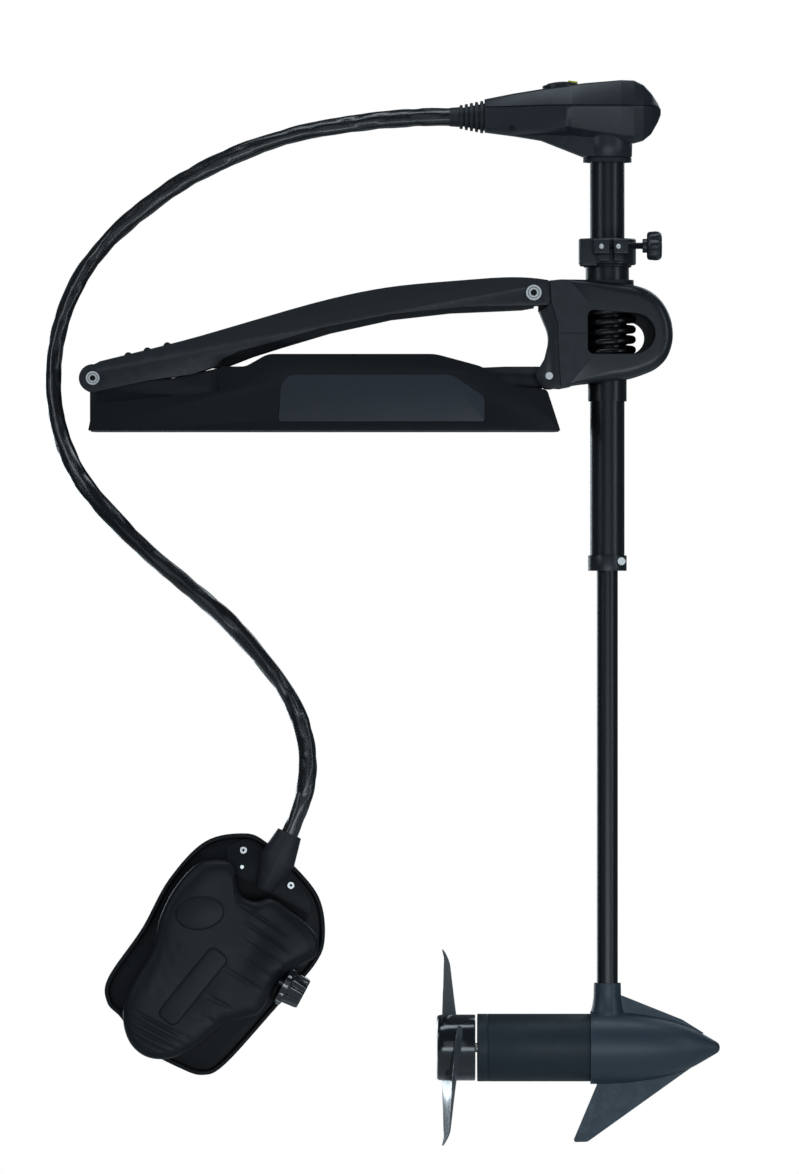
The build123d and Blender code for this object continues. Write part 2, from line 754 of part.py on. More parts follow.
def cord_boot():
    """The bellows that carries the cord into the head."""
    small = cord_radius + 0.4
    points = [(0, 0.0), (0, small), (13.5, small + 1)]
    rings = 5
    length = boot_length - 13.5
    for step in range(rings):
        ridge = 15 + 7 * (step + 1) / rings
        a = 13.5 + length * step / rings
        width = length / rings
        points += [(a + 0.1 * width, ridge), (a + 0.6 * width, ridge), (a + 0.7 * width, ridge - 3.5)]
        points += [(a + 0.98 * width, ridge - 3.5)]
    points += [(boot_length - 0.2, 18), (boot_length - 0.2, 0.0)]
    x, y, z = cord_route[0]
    return turned(points, (x, y, z), (1, 0, 0))


def head_screws():
    """Two screws in the near face of the lower shell."""
    screws = []
    neck = (shaft_x - 3, head_bottom_z + 15, 4, -36)
    strut = (shaft_x - 131, head_seam_z - 31, 3, -34)
    for x, z, radius, y in (neck, strut):
        screws.append(rod(radius, (x, y, z), (0, 1, 0), 3) - head_solid(0))
    return group(*screws)


# ------------------------------------------------------------------ lower unit
def nose_x():
    return can_rear_x + can_length


def inner_shaft():
    bottom = motor_z + can_radius - 4
    length = column_top_z + 10 - bottom
    return ring(inner_shaft_radius, inner_shaft_bore, (shaft_x, 0, bottom), (0, 0, 1), length)


def steering_drum():
    """The cable drum on the shaft's top, with its two cable grooves and the belt's pulley."""
    z = column_top_z + 2
    points = [
        (z, inner_shaft_radius), (z, 30), (z + 3, 30), (z + 3, 27.5), (z + 6.5, 27.5), (z + 6.5, 30),
        (z + 9, 30), (z + 9, 27.5), (z + 12.5, 27.5), (z + 12.5, 30), (z + 15, 30),
        (z + 15, 0), (z + 10, 0), (z + 10, inner_shaft_radius),
    ]
    drum = turned(points, (shaft_x, 0, 0), (0, 0, 1))
    pulley_bottom = head_seam_z - 17
    return drum + rod(pulley_radius, (shaft_x, 0, z + 15), (0, 0, 1), pulley_bottom + 8 - z - 15)


def motor_leads():
    """The two leads that run down the shaft's bore."""
    bottom = motor_z + can_radius - 2
    leads = [
        rod(3, (shaft_x + side * 3.6, 0, bottom), (0, 0, 1), column_top_z + 4 - bottom) for side in (-1, 1)
    ]
    return group(*leads)


def motor_can():
    return ring(can_radius, can_radius - can_wall, (can_rear_x, 0, motor_z), (1, 0, 0), can_length)


def rear_cap():
    bore = prop_shaft_radius + 8
    start = can_rear_x - rear_cap_length
    cap = rod(can_radius, (start, 0, motor_z), (1, 0, 0), rear_cap_length)
    cap -= rod(can_radius - can_wall, (start + 6, 0, motor_z), (1, 0, 0), rear_cap_length)
    return cap - rod(bore, (start - 1, 0, motor_z), (1, 0, 0), 20)


def nose_outline():
    x = nose_x()
    l = nose_length
    r = can_radius
    return [(x, r + 3.6), (x + 0.22 * l, r + 2.5), (x + 0.54 * l, r - 5), (x + 0.79 * l, r - 19.5),
            (x + 0.955 * l, r - 36)]


def nose_housing():
    """The cast nose: socket for the shaft, fin above, skeg below, hollow towards the motor."""
    x = nose_x()
    tip = x + nose_length
    crown = Spline(*nose_outline(), (tip, 0), tangents=[(1, 0), (0, -1)])
    close = Polyline((tip, 0), (x, 0), (x, nose_outline()[0][1]))
    place = Plane(origin=(0, 0, motor_z), x_dir=(1, 0, 0), z_dir=(0, -1, 0))
    body = revolve(place * make_face([crown, close]), axis=Axis((0, 0, motor_z), (1, 0, 0)))
    socket_top = motor_z + 88
    socket = turned(
        [(motor_z, 0), (motor_z, 22.6), (motor_z + 48, 22.6), (motor_z + 57, 20.5), (motor_z + 68, 18.8),
         (socket_top, 18.4), (socket_top, 0)],
        (shaft_x, 0, 0), (0, 0, 1),
    )
    fin = slab(
        [(shaft_x, motor_z + 30), (shaft_x, motor_z + 76), (shaft_x + 22, motor_z + 70),
         (shaft_x + 102, motor_z + 38), (shaft_x + 131, motor_z + 20), (shaft_x + 110, motor_z + 10)],
        [0, 0, 10, 30, 0, 0], -4, 4,
    )
    housing = body + socket + fin + skeg()
    housing -= rod(can_radius - can_wall, (x - 1, 0, motor_z), (1, 0, 0), 10)
    housing -= rod(inner_shaft_radius, (shaft_x, 0, motor_z + can_radius - 4), (0, 0, 1), 100)
    return housing - rod(prop_shaft_radius + 4, (x, 0, motor_z), (1, 0, 0), 22)


def skeg():
    """The swept fin under the nose, thinning towards its tip."""
    points = [
        (shaft_x - 14, motor_z - 40), (shaft_x - 14, motor_z - 50), (shaft_x - 47, motor_z - 128.5),
        (shaft_x - 27, motor_z - 128), (shaft_x + 117, motor_z - 25), (shaft_x + 90, motor_z - 20),
    ]
    return slab(points, [0, 10, 3, 8, 0, 0], -4.5, 4.5)


def magnets():
    """Two arc magnets bonded in the can."""
    start = (can_rear_x + 22, 0, motor_z)
    outer = can_radius - can_wall
    whole = ring(outer, outer - 9, start, (1, 0, 0), 84)
    gap = block(can_rear_x, nose_x(), -60, 60, motor_z - 12, motor_z + 12)
    return whole - gap


def armature():
    start = can_rear_x + 26
    core = rod(31, (start, 0, motor_z), (1, 0, 0), 76)
    core -= rod(prop_shaft_radius, (start - 5, 0, motor_z), (1, 0, 0), 120)
    for k in range(12):
        angle = math.radians(30 * k)
        y = 27.5 * math.cos(angle)
        z = motor_z + 27.5 * math.sin(angle)
        core -= rod(3, (start - 1, y, z), (1, 0, 0), 78)
    return core


def commutator():
    start = (can_rear_x + 6, 0, motor_z)
    return ring(14, prop_shaft_radius, start, (1, 0, 0), 14)


def brush_plate():
    """The brush ring inside the rear cap, with its two carbon brushes."""
    start = (can_rear_x + 8, 0, motor_z)
    plate = ring(can_radius - can_wall - 0.1, 24, start, (1, 0, 0), 3)
    for side in (-1, 1):
        low = motor_z + side * 14.3
        high = motor_z + side * 30
        plate += block(can_rear_x + 9, can_rear_x + 17, -5, 5, min(low, high), max(low, high))
    return plate


def motor_bearings():
    """The plain bearing in the nose and the one in the rear cap."""
    bore = prop_shaft_radius + running_fit
    front = ring(prop_shaft_radius + 4, bore, (nose_x() + 2, 0, motor_z), (1, 0, 0), 18)
    rear = ring(prop_shaft_radius + 8, bore, (can_rear_x - rear_cap_length + 5, 0, motor_z), (1, 0, 0), 9)
    return group(front, rear)


def shaft_seal():
    start = (can_rear_x - rear_cap_length, 0, motor_z)
    return ring(prop_shaft_radius + 8, prop_shaft_radius + running_fit, start, (1, 0, 0), 5)


def through_bolts():
    bolts = []
    start = can_rear_x - rear_cap_length - 1.5
    for side in (-1, 1):
        place = (start, side * 30, motor_z)
        bolts.append(rod(4, place, (1, 0, 0), 1.5))
    return group(*bolts)


# ------------------------------------------------------------------ propeller
def hub_rear_x():
    return can_rear_x - rear_cap_length - prop_gap - prop_hub_length


def prop_shaft():
    start = hub_rear_x() + 4.5
    return rod(prop_shaft_radius, (start, 0, motor_z), (1, 0, 0), nose_x() + 18 - start)


def blade_section(radius, chord, pitch, sweep_back, thickness, x_middle):
    """A thin flat section square to the blade's length."""
    angle = math.radians(pitch)
    place = Plane(
        origin=(x_middle, sweep_back, motor_z + radius), x_dir=(math.sin(angle), math.cos(angle), 0),
        z_dir=(0, 0, 1),
    )
    return place * Ellipse(chord / 2, thickness / 2)


def propeller():
    """A wide tapering hub with two swept weed-shedding blades."""
    x = hub_rear_x()
    hub = turned(
        [(x, 24), (x, prop_hub_radius - 4), (x + 3, prop_hub_radius - 1), (x + 12, prop_hub_radius),
         (x + prop_hub_length, prop_hub_radius), (x + prop_hub_length, 38), (x + 20, 38), (x + 20, 24)],
        (0, 0, motor_z), (1, 0, 0),
    )
    hub += ring(25, prop_shaft_radius + 0.02, (x + 14, 0, motor_z), (1, 0, 0), 30)
    stations = [
        (32, 78, 22, 0, 11, 23), (60, 84, 20, 4, 8, 20), (92, 74, 17, 10, 6, 14),
        (118, 50, 15, 19, 4.5, 9), (blade_radius, 20, 14, 30, 3, 7),
    ]
    sections = [blade_section(r, c, p, s, t, x + m) for r, c, p, s, t, m in stations]
    blade = loft(sections)
    blade -= rod(prop_hub_radius - 6, (x - 40, 0, motor_z), (1, 0, 0), 140)
    other = Pos(0, 0, motor_z) * Rot(180, 0, 0) * Pos(0, 0, -motor_z) * blade
    return hub + blade + other


def drive_pin():
    return rod(2.4, (hub_rear_x() + 11.4, -20, motor_z), (0, 1, 0), 40) - rod(
        prop_shaft_radius, (hub_rear_x(), 0, motor_z), (1, 0, 0), 20
    )


def prop_nut():
    start = hub_rear_x() + 0.5
    place = Plane(origin=(start, 0, motor_z), z_dir=(1, 0, 0))
    nut = extrude(place * RegularPolygon(12, 6), amount=8)
    return nut - rod(prop_shaft_radius, (start + 4, 0, motor_z), (1, 0, 0), 20)


# ------------------------------------------------------------------ cord
def corner_radii(route):
    radii = []
    for before, here, after in zip(route, route[1:], route[2:]):
        first = Vector(here) - Vector(before)
        second = Vector(after) - Vector(here)
        turn = math.radians(first.get_angle(second))
        radii.append(0.45 * min(first.length, second.length) / math.tan(turn / 2))
    return radii


def control_cord():
    radii = corner_radii(cord_route)
    path = FilletPolyline(*cord_route, radius=radii)
    profile = Plane(origin=path @ 0, z_dir=path % 0) * Circle(cord_radius)
    tube = sweep(profile, path=path)
    print("cord radii", [round(r) for r in radii])
    print("cord length", round(path.length), "volume ratio", round(
        tube.volume / (math.pi * cord_radius ** 2 * path.length), 4))
    return tube


# ------------------------------------------------------------------ foot pedal
lean = math.radians(pedal_lean)
pedal_across = (math.cos(lean), 0, -math.sin(lean))
pedal_along = (math.sin(lean), 0, math.cos(lean))


def pedal_plane(height):
    """The pedal's own plane, drawn as (across, along), at a height over its back."""
    origin = (pedal_x, pedal_back_y - height, pedal_z)
    return Plane(origin=origin, x_dir=pedal_across, z_dir=(0, -1, 0))


def pedal_point(across, along, height):
    return pedal_plane(height).from_local_coords(Vector(across, along, 0))


def pedal_slab(points, radii, low, high):
    face = rounded_face(points, radii)
    return extrude(pedal_plane(low) * face, amount=high - low)


def pedal_outline():
    points = [
        (-46, 153), (-89, 118), (-108, 50), (-109, -25), (-118, -105), (-104, -134), (-79, -141),
        (-52, -156), (-30, -165), (54, -162), (72, -135), (99, -32), (117, 40), (113, 78),
        (79, 124), (21, 148), (-20, 153),
    ]
    return points, [22, 30, 40, 60, 22, 12, 6, 8, 12, 18, 30, 60, 20, 24, 40, 8, 8]


def treadle_outline():
    points = [
        (-57, 109), (-84, 92), (-96, 50), (-96, 5), (-83, -45), (-87, -105), (-76, -142),
        (-52, -167), (-22, -174), (8, -160), (32, -126), (42, -80), (90, -42), (113, 58), (84, 84),
        (24, 94), (-4, 86), (-24, 94), (-34, 108),
    ]
    return points, [16, 20, 30, 30, 30, 30, 20, 20, 20, 24, 20, 26, 26, 20, 16, 10, 10, 8, 4]


def pedal_base():
    """The floor plate with a low rim, the pivot's cheeks and the toe housing."""
    points, radii = pedal_outline()
    base = pedal_slab(points, radii, 0, pedal_floor)
    toe = [(-62, 128), (-44, 148), (20, 144), (72, 118), (84, 98), (-46, 98)]
    base += pedal_slab(toe, [6, 8, 8, 8, 4, 4], pedal_floor, pedal_floor + toe_height)
    for across in (-70, 56):
        cheek = [(across, pedal_pivot_along - 16), (across, pedal_pivot_along + 16),
                 (across + 8, pedal_pivot_along + 16), (across + 8, pedal_pivot_along - 16)]
        base += pedal_slab(cheek, [0, 0, 0, 0], pedal_floor, pedal_pivot_height + 6)
    post = [(80, -18), (80, 18), (90, 18), (90, -18)]
    base += pedal_slab(post, [0, 0, 0, 0], pedal_floor, speed_knob_height + 3)
    base -= rod(speed_knob_radius + 1.5, pedal_point(91, 0, speed_knob_height), pedal_across, 60)
    pin_start = pedal_point(-90, pedal_pivot_along, pedal_pivot_height)
    base -= rod(treadle_pin_radius, pin_start, pedal_across, 190)
    return base - rod(4, pedal_point(70, 0, speed_knob_height), pedal_across, 40)


def treadle():
    """The foot plate, with two ears on the pivot pin and a pocket for the button."""
    points, radii = treadle_outline()
    top = treadle_bottom + treadle_thickness
    plate = pedal_slab(points, radii, treadle_bottom, top)
    for across in (-61, 47):
        ear = [(across, pedal_pivot_along - 9), (across, pedal_pivot_along + 9),
               (across + 8, pedal_pivot_along + 9), (across + 8, pedal_pivot_along - 9)]
        plate += pedal_slab(ear, [0, 0, 0, 0], pedal_pivot_height - 7, treadle_bottom + 1)
    pin_start = pedal_point(-90, pedal_pivot_along, pedal_pivot_height)
    plate -= rod(treadle_pin_radius + running_fit, pin_start, pedal_across, 190)
    plate -= button_shape(0.4, top - 9, top + 1)
    plate -= pedal_slab(insert_points(0), [10] * 4, top - 1.5, top + 1)
    knob = rod(speed_knob_radius + knob_gap, pedal_point(91, 0, speed_knob_height), pedal_across, 60)
    pocket = [(74, -24), (74, 24), (92, 24), (92, -24)]
    return plate - knob - pedal_slab(pocket, [0] * 4, treadle_bottom - 1, top - 8)


def insert_points(inset):
    low = inset - 118
    high = -8 - inset
    return [(inset - 34, low), (inset - 36, high), (4 - inset, high), (4 - inset, low)]


def tread_insert():
    top = treadle_bottom + treadle_thickness
    return pedal_slab(insert_points(0.2), [9.8] * 4, top - 1.5, top + 0.4)


def button_shape(extra, low, high):
    face = Pos(-51, 32) * Rot(0, 0, 35) * Ellipse(32 + extra, 22 + extra)
    return extrude(pedal_plane(low) * face, amount=high - low)


def momentary_button():
    top = treadle_bottom + treadle_thickness
    return button_shape(0, top - 4.5, top + 1)


def button_switch():
    top = treadle_bottom + treadle_thickness
    body = [(-57, 27), (-57, 37), (-45, 37), (-45, 27)]
    return pedal_slab(body, [1] * 4, top - 9, top - 7.7)


def treadle_pin():
    start = pedal_point(-84, pedal_pivot_along, pedal_pivot_height)
    return rod(treadle_pin_radius, start, pedal_across, 152)


def speed_knob():
    """The ribbed speed dial on the pedal's side: graduated skirt, then the grip."""
    centre = pedal_point(92, 0, speed_knob_height)
    skirt = rod(speed_knob_radius, centre, pedal_across, 10)
    grip = rod(speed_knob_radius - 6, pedal_point(100, 0, speed_knob_height), pedal_across, 24)
    stem = rod(4 - running_fit, pedal_point(78, 0, speed_knob_height), pedal_across, 20)
    return skirt + grip + stem


def speed_potentiometer():
    """The thin sensor that the speed dial turns, on the inside of its post."""
    return ring(8, 4, pedal_point(76.5, 0, speed_knob_height), pedal_across, 3.5)


def pedal_boot():
    """The moulded sleeve round the cord's end, flaring into the pedal."""
    end = Vector(cord_route[-1])
    run = (end - Vector(cord_route[-2])).normalized()
    place = Plane(origin=end, z_dir=run)
    sleeve = place * Cone(17, 24.5, 40, align=(Align.CENTER, Align.CENTER, Align.MIN))
    lower = Plane(origin=end + run * 40, z_dir=run)
    sleeve += lower * Cone(24.5, 12, 44, align=(Align.CENTER, Align.CENTER, Align.MIN))
    return sleeve - pedal_seat()


def pedal_seat():
    base = pedal_base()
    return base + pedal_slab([(-150, 90), (-150, 200), (150, 200), (150, 90)], [0] * 4, -40, 0)


def pedal_screws():
    """Cross-headed screws in the toe housing."""
    screws = []
    for across, along, radius in ((-39, 133, 4.5), (40, 121, 4.5), (-30, 112, 2.5)):
        screws.append(rod(radius, pedal_point(across, along, pedal_floor + toe_height), (0, -1, 0), 2))
    return group(*screws)


nodes = {
    "base_plate": base_plate,
    "base_channel": base_channel,
    "side_cover_near": side_cover,
    "side_cover_far": lambda: mirror(side_cover(), about=Plane.XZ),
    "label_panels": lambda: both_sides(label_panel()),
    "cover_screws": cover_screws,
    "stern_bolt": lambda: group(stern_bolt(), stern_nut()),
    "upper_arm": upper_arm,
    "arm_bushes": arm_bushes,
    "lower_link": lower_link,
    "link_tail_pin": link_tail_pin,
    "bracket_yoke": bracket_yoke,
    "hub_shell_near": lambda: hub_shells(-1),
    "hub_shell_far": lambda: hub_shells(1),
    "hub_screws": hub_screws,
    "bow_bolt": bow_bolt,
    "link_pin": link_pin,
    "guide_sleeve": guide_sleeve,
    "seal_ring": seal_ring,
    "spring_seats": spring_seats,
    "coil_spring": coil_spring,
    "depth_collar": depth_collar,
    "depth_knob": depth_knob,
    "outer_tube": outer_tube,
    "column_bushes": lambda: group(shaft_bushes(), indicator_bearing()),
    "lower_collar": lower_collar,
    "column_screws": lambda: group(head_screws(), lower_collar_screw()),
    "neck_ring": neck_ring,
    "head_lower_shell": lambda: head_shell(False),
    "head_upper_shell": lambda: head_shell(True),
    "cord_boot": cord_boot,
    "control_board": control_board,
    "indicator_belt": indicator_belt,
    "direction_indicator": direction_indicator,
    "indicator_pointer": indicator_pointer,
    "control_cord": control_cord,
    "pedal_base": pedal_base,
    "pedal_boot": pedal_boot,
    "pedal_screws": pedal_screws,
    "treadle_pin": treadle_pin,
    "speed_potentiometer": speed_potentiometer,
    "treadle": treadle,
    "tread_insert": tread_insert,
    "button_switch": button_switch,
    "momentary_button": momentary_button,
    "speed_knob": speed_knob,
    "inner_shaft": inner_shaft,
    "steering_drum": steering_drum,
    "motor_leads": motor_leads,
    "nose_housing": nose_housing,
    "motor_can": motor_can,
    "rear_cap": rear_cap,
    "motor_internals": lambda: group(magnets(), brush_plate()),
    "motor_bearings": motor_bearings,
    "shaft_seal": shaft_seal,
    "through_bolts": through_bolts,
    "propeller": propeller,
    "prop_shaft": prop_shaft,
    "armature": lambda: group(armature(), commutator()),
    "prop_fasteners": lambda: group(drive_pin(), prop_nut()),
}

if __name__ == "__main__":
    for name, make in nodes.items():
        save(name, make())
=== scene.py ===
"""Looks for the bow-mounted trolling motor: mount, breakaway column, lower unit, cord and pedal."""

import json
import math

import bmesh
import bpy
from mathutils import Matrix, Vector, noise
from mathutils.bvhtree import BVHTree


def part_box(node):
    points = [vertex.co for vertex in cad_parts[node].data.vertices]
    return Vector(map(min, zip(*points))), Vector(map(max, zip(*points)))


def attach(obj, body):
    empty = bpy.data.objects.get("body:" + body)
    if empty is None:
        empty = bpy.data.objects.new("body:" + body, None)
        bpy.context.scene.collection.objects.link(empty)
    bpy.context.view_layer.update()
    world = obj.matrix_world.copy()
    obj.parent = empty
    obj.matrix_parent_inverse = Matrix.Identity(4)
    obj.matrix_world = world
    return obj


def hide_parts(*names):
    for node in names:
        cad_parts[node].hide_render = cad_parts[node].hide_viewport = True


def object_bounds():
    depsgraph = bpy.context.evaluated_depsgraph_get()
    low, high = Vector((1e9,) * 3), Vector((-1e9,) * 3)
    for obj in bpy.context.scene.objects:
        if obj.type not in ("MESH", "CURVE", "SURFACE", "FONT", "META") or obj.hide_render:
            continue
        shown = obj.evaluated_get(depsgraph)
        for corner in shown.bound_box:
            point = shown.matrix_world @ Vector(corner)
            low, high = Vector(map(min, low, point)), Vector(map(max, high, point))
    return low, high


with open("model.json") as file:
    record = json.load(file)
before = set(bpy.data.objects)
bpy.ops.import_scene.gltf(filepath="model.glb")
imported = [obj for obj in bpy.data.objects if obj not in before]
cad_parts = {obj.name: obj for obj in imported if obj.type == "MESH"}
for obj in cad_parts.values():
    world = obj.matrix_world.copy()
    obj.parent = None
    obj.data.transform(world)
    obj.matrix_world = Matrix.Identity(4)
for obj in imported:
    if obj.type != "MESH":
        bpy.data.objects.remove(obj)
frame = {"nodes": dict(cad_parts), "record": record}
CAD_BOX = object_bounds()

bl_info = {
    "name": "Trolling Motor Looks",
    "version": (1, 0, 0),
    "blender": (4, 5, 0),
    "location": "View3D > Sidebar > Trolling Motor",
    "description": "Dresses the CAD trolling motor with finished pieces and materials",
    "category": "Object",
}

MM = 0.001


# ---------------------------------------------------------------- places read from the frame
def middle(node):
    """Centre of a CAD node's box."""
    low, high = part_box(node)
    return (low + high) / 2


SHAFT_X = middle("inner_shaft").x
MOTOR_Z = middle("motor_can").z
HEAD_SEAM_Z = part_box("head_upper_shell")[0].z
BODY_OF = {n: b for b, names in frame["record"]["behaviour"]["bodies"].items() for n in names}


# ---------------------------------------------------------------- settings
def tint(name, description, colour):
    """A colour setting."""
    return bpy.props.FloatVectorProperty(
        name=name, description=description, subtype="COLOR", default=colour,
    )


def length(name, description, metres):
    """A setting that is a length."""
    return bpy.props.FloatProperty(
        name=name, description=description, default=metres, unit="LENGTH",
    )


class TrollingFinishes(bpy.types.PropertyGroup):
    """Colours of the finishes, linear."""

    plastic: tint("Moulded plastic", "Head, housings and covers", (0.0070, 0.0090, 0.0130))
    casting: tint("Painted casting", "Arms, yoke and base", (0.0058, 0.0072, 0.0108))
    motor_paint: tint("Motor paint", "Lower unit", (0.0105, 0.0180, 0.0255))
    sheath: tint("Cord sheath", "Glossy sleeve of the cord", (0.004, 0.004, 0.005))
    tread: tint("Tread", "Soft skin of the foot plate", (0.0026, 0.0040, 0.0060))
    pointer: tint("Pointer", "Mark on the direction dial", (0.62, 0.60, 0.02))


class TrollingShapes(bpy.types.PropertyGroup):
    """Sizes that the finished pieces add to the CAD."""

    cord_diameter: length("Cord diameter", "Outside of the cord's sheath", 24.5 * MM)
    crease_depth: length("Crease depth", "Depth of the folds in the cord's sheath", 1.6 * MM)


class TrollingStage(bpy.types.PropertyGroup):
    """Camera and light."""

    view_distance: length("View distance", "Camera to the shaft's plane", 14.0)
    view_height: length("View height", "Height of the picture at the shaft's plane", 1.597)
    floor_drop: length("Floor drop", "Space between the skeg and the floor", 0.16)


def settings():
    """The colours and the sizes of the finished pieces."""
    return bpy.context.scene.trolling_finishes, bpy.context.scene.trolling_shapes


# ---------------------------------------------------------------- shader groups
def group_with(name, inputs, outputs):
    """An empty shader group with named sockets."""
    tree = bpy.data.node_groups.new(name, "ShaderNodeTree")
    for label, kind, value in inputs:
        socket = tree.interface.new_socket(label, in_out="INPUT", socket_type=kind)
        if value is not None:
            socket.default_value = value
    for label, kind in outputs:
        tree.interface.new_socket(label, in_out="OUTPUT", socket_type=kind)
    return tree, tree.nodes.new("NodeGroupInput").outputs, tree.nodes.new("NodeGroupOutput")


def feed(tree, node, **values):
    """Sets a node's inputs to numbers or colours, or links other nodes' sockets to them."""
    for label, value in values.items():
        socket = node.inputs[label.replace("_", " ")]
        if isinstance(value, bpy.types.NodeSocket):
            tree.links.new(value, socket)
        elif socket.type == "RGBA":
            socket.default_value = (*value[:3], 1.0)
        else:
            socket.default_value = value


def math_node(tree, operation, first, second):
    """A Math node fed by sockets or numbers."""
    node = tree.nodes.new("ShaderNodeMath")
    node.operation = operation
    for socket, value in zip(node.inputs, (first, second)):
        if isinstance(value, (int, float)):
            socket.default_value = value
        else:
            tree.links.new(value, socket)
    return node.outputs[0]


def product(tree, *factors):
    """The product of sockets and numbers."""
    result = factors[0]
    for factor in factors[1:]:
        result = math_node(tree, "MULTIPLY", result, factor)
    return result


def swung_about(tree, base, value, *factors):
    """A base value that rises and falls with how far another one is from a half."""
    swing = product(tree, math_node(tree, "SUBTRACT", value, 0.5), *factors)
    return math_node(tree, "ADD", base, swing)


def ramp_node(tree, factor, low, high):
    """A Map Range from low..high to 0..1, clamped and smooth."""
    node = tree.nodes.new("ShaderNodeMapRange")
    node.interpolation_type = "SMOOTHSTEP"
    feed(tree, node, Value=factor, From_Min=low, From_Max=high)
    return node.outputs["Result"]


def noise_node(tree, vector, scale, detail=3.0, roughness=0.55):
    """A noise texture's value; its scale is a number or a socket."""
    node = tree.nodes.new("ShaderNodeTexNoise")
    feed(tree, node, Vector=vector, Scale=scale, Detail=detail, Roughness=roughness)
    return node.outputs["Fac"]


def scaled_vector(tree, vector, factors):
    """A vector multiplied along each axis."""
    node = tree.nodes.new("ShaderNodeVectorMath")
    node.operation = "MULTIPLY"
    tree.links.new(vector, node.inputs[0])
    if isinstance(factors, tuple):
        node.inputs[1].default_value = factors
    else:
        tree.links.new(factors, node.inputs[1])
    return node.outputs["Vector"]


def mix_colour(tree, factor, first, second):
    """A colour between two colours, each a tuple or a socket."""
    node = tree.nodes.new("ShaderNodeMix")
    node.data_type = "RGBA"
    feed(tree, node, Factor=factor, A=first, B=second)
    return node.outputs["Result"]


def grain_group():
    """Spark-eroded mould grain: a fine height, a roughness that drifts, and a tone mask."""
    tree, entry, leave = group_with(
        "mould_grain",
        [("Vector", "NodeSocketVector", None), ("Scale", "NodeSocketFloat", 900.0),
         ("Roughness", "NodeSocketFloat", 0.45), ("Drift", "NodeSocketFloat", 0.08)],
        [("Height", "NodeSocketFloat"), ("Roughness", "NodeSocketFloat"), ("Tone", "NodeSocketFloat")],
    )
    fine = noise_node(tree, entry["Vector"], entry["Scale"], 2.0, 0.6)
    broad = noise_node(tree, entry["Vector"], 9.0, 4.0, 0.6)
    rough = swung_about(tree, entry["Roughness"], broad, entry["Drift"], 4.0)
    feed(tree, leave, Height=fine, Roughness=rough, Tone=broad)
    return tree


def wear_group():
    """Paler edges where hands and cases have rubbed."""
    tree, entry, leave = group_with(
        "edge_wear",
        [("Vector", "NodeSocketVector", None), ("Color", "NodeSocketColor", None),
         ("Worn Color", "NodeSocketColor", None), ("Amount", "NodeSocketFloat", 0.3)],
        [("Color", "NodeSocketColor"), ("Mask", "NodeSocketFloat")],
    )
    geometry = tree.nodes.new("ShaderNodeNewGeometry")
    edge = ramp_node(tree, geometry.outputs["Pointiness"], 0.515, 0.60)
    patch = ramp_node(tree, noise_node(tree, entry["Vector"], 60.0, 4.0, 0.7), 0.42, 0.62)
    mask = product(tree, edge, patch, entry["Amount"])
    feed(tree, leave, Mask=mask, Color=mix_colour(tree, mask, entry["Color"], entry["Worn Color"]))
    return tree


def dust_group():
    """A thin film of dust on faces that look up."""
    tree, entry, leave = group_with(
        "dust_film",
        [("Vector", "NodeSocketVector", None), ("Color", "NodeSocketColor", None),
         ("Dust Color", "NodeSocketColor", None), ("Amount", "NodeSocketFloat", 0.1)],
        [("Color", "NodeSocketColor")],
    )
    geometry = tree.nodes.new("ShaderNodeNewGeometry")
    split = tree.nodes.new("ShaderNodeSeparateXYZ")
    feed(tree, split, Vector=geometry.outputs["Normal"])
    upward = ramp_node(tree, split.outputs["Z"], 0.1, 1.0)
    cloud = ramp_node(tree, noise_node(tree, entry["Vector"], 22.0, 5.0, 0.65), 0.35, 0.75)
    mask = product(tree, upward, cloud, entry["Amount"])
    feed(tree, leave, Color=mix_colour(tree, mask, entry["Color"], entry["Dust Color"]))
    return tree


def streak_group():
    """Fine parallel marks left by turning, drawing or brushing, along one axis."""
    tree, entry, leave = group_with(
        "drawn_streaks",
        [("Vector", "NodeSocketVector", None), ("Stretch", "NodeSocketVector", (40.0, 40.0, 900.0)),
         ("Roughness", "NodeSocketFloat", 0.3), ("Swing", "NodeSocketFloat", 0.2)],
        [("Height", "NodeSocketFloat"), ("Roughness", "NodeSocketFloat")],
    )
    marks = noise_node(tree, scaled_vector(tree, entry["Vector"], entry["Stretch"]), 1.0, 3.0, 0.6)
    rough = swung_about(tree, entry["Roughness"], marks, entry["Swing"])
    feed(tree, leave, Height=marks, Roughness=rough)
    return tree


GROUPS = {}


def shared(name):
    """A shader group, built the first time it is asked for."""
    makers = {"grain": grain_group, "wear": wear_group, "dust": dust_group, "streaks": streak_group}
    if name not in GROUPS:
        GROUPS[name] = makers[name]()
    return GROUPS[name]


def place_group(tree, name, **values):
    """Outputs of a shared shader group set into a material with its own values."""
    node = tree.nodes.new("ShaderNodeGroup")
    node.node_tree = shared(name)
    feed(tree, node, Vector=object_coordinates(tree), **values)
    return node.outputs


def blank_material(name):
    """A new node material, its tree and its shader."""
    material = bpy.data.materials.new(name)
    material.use_nodes = True
    return material, material.node_tree, material.node_tree.nodes["Principled BSDF"]


def object_coordinates(tree):
    """The place on the piece, in metres of the shared frame."""
    return tree.nodes.new("ShaderNodeTexCoord").outputs["Object"]


def finish_shader(tree, shader, height, strength, depth, **values):
    """Feeds a shader and bumps it by a height, the depth in millimetres."""
    bump = tree.nodes.new("ShaderNodeBump")
    feed(tree, bump, Strength=strength, Distance=depth * MM, Height=height)
    feed(tree, shader, Normal=bump.outputs["Normal"], **values)


DUST = (0.16, 0.155, 0.14)


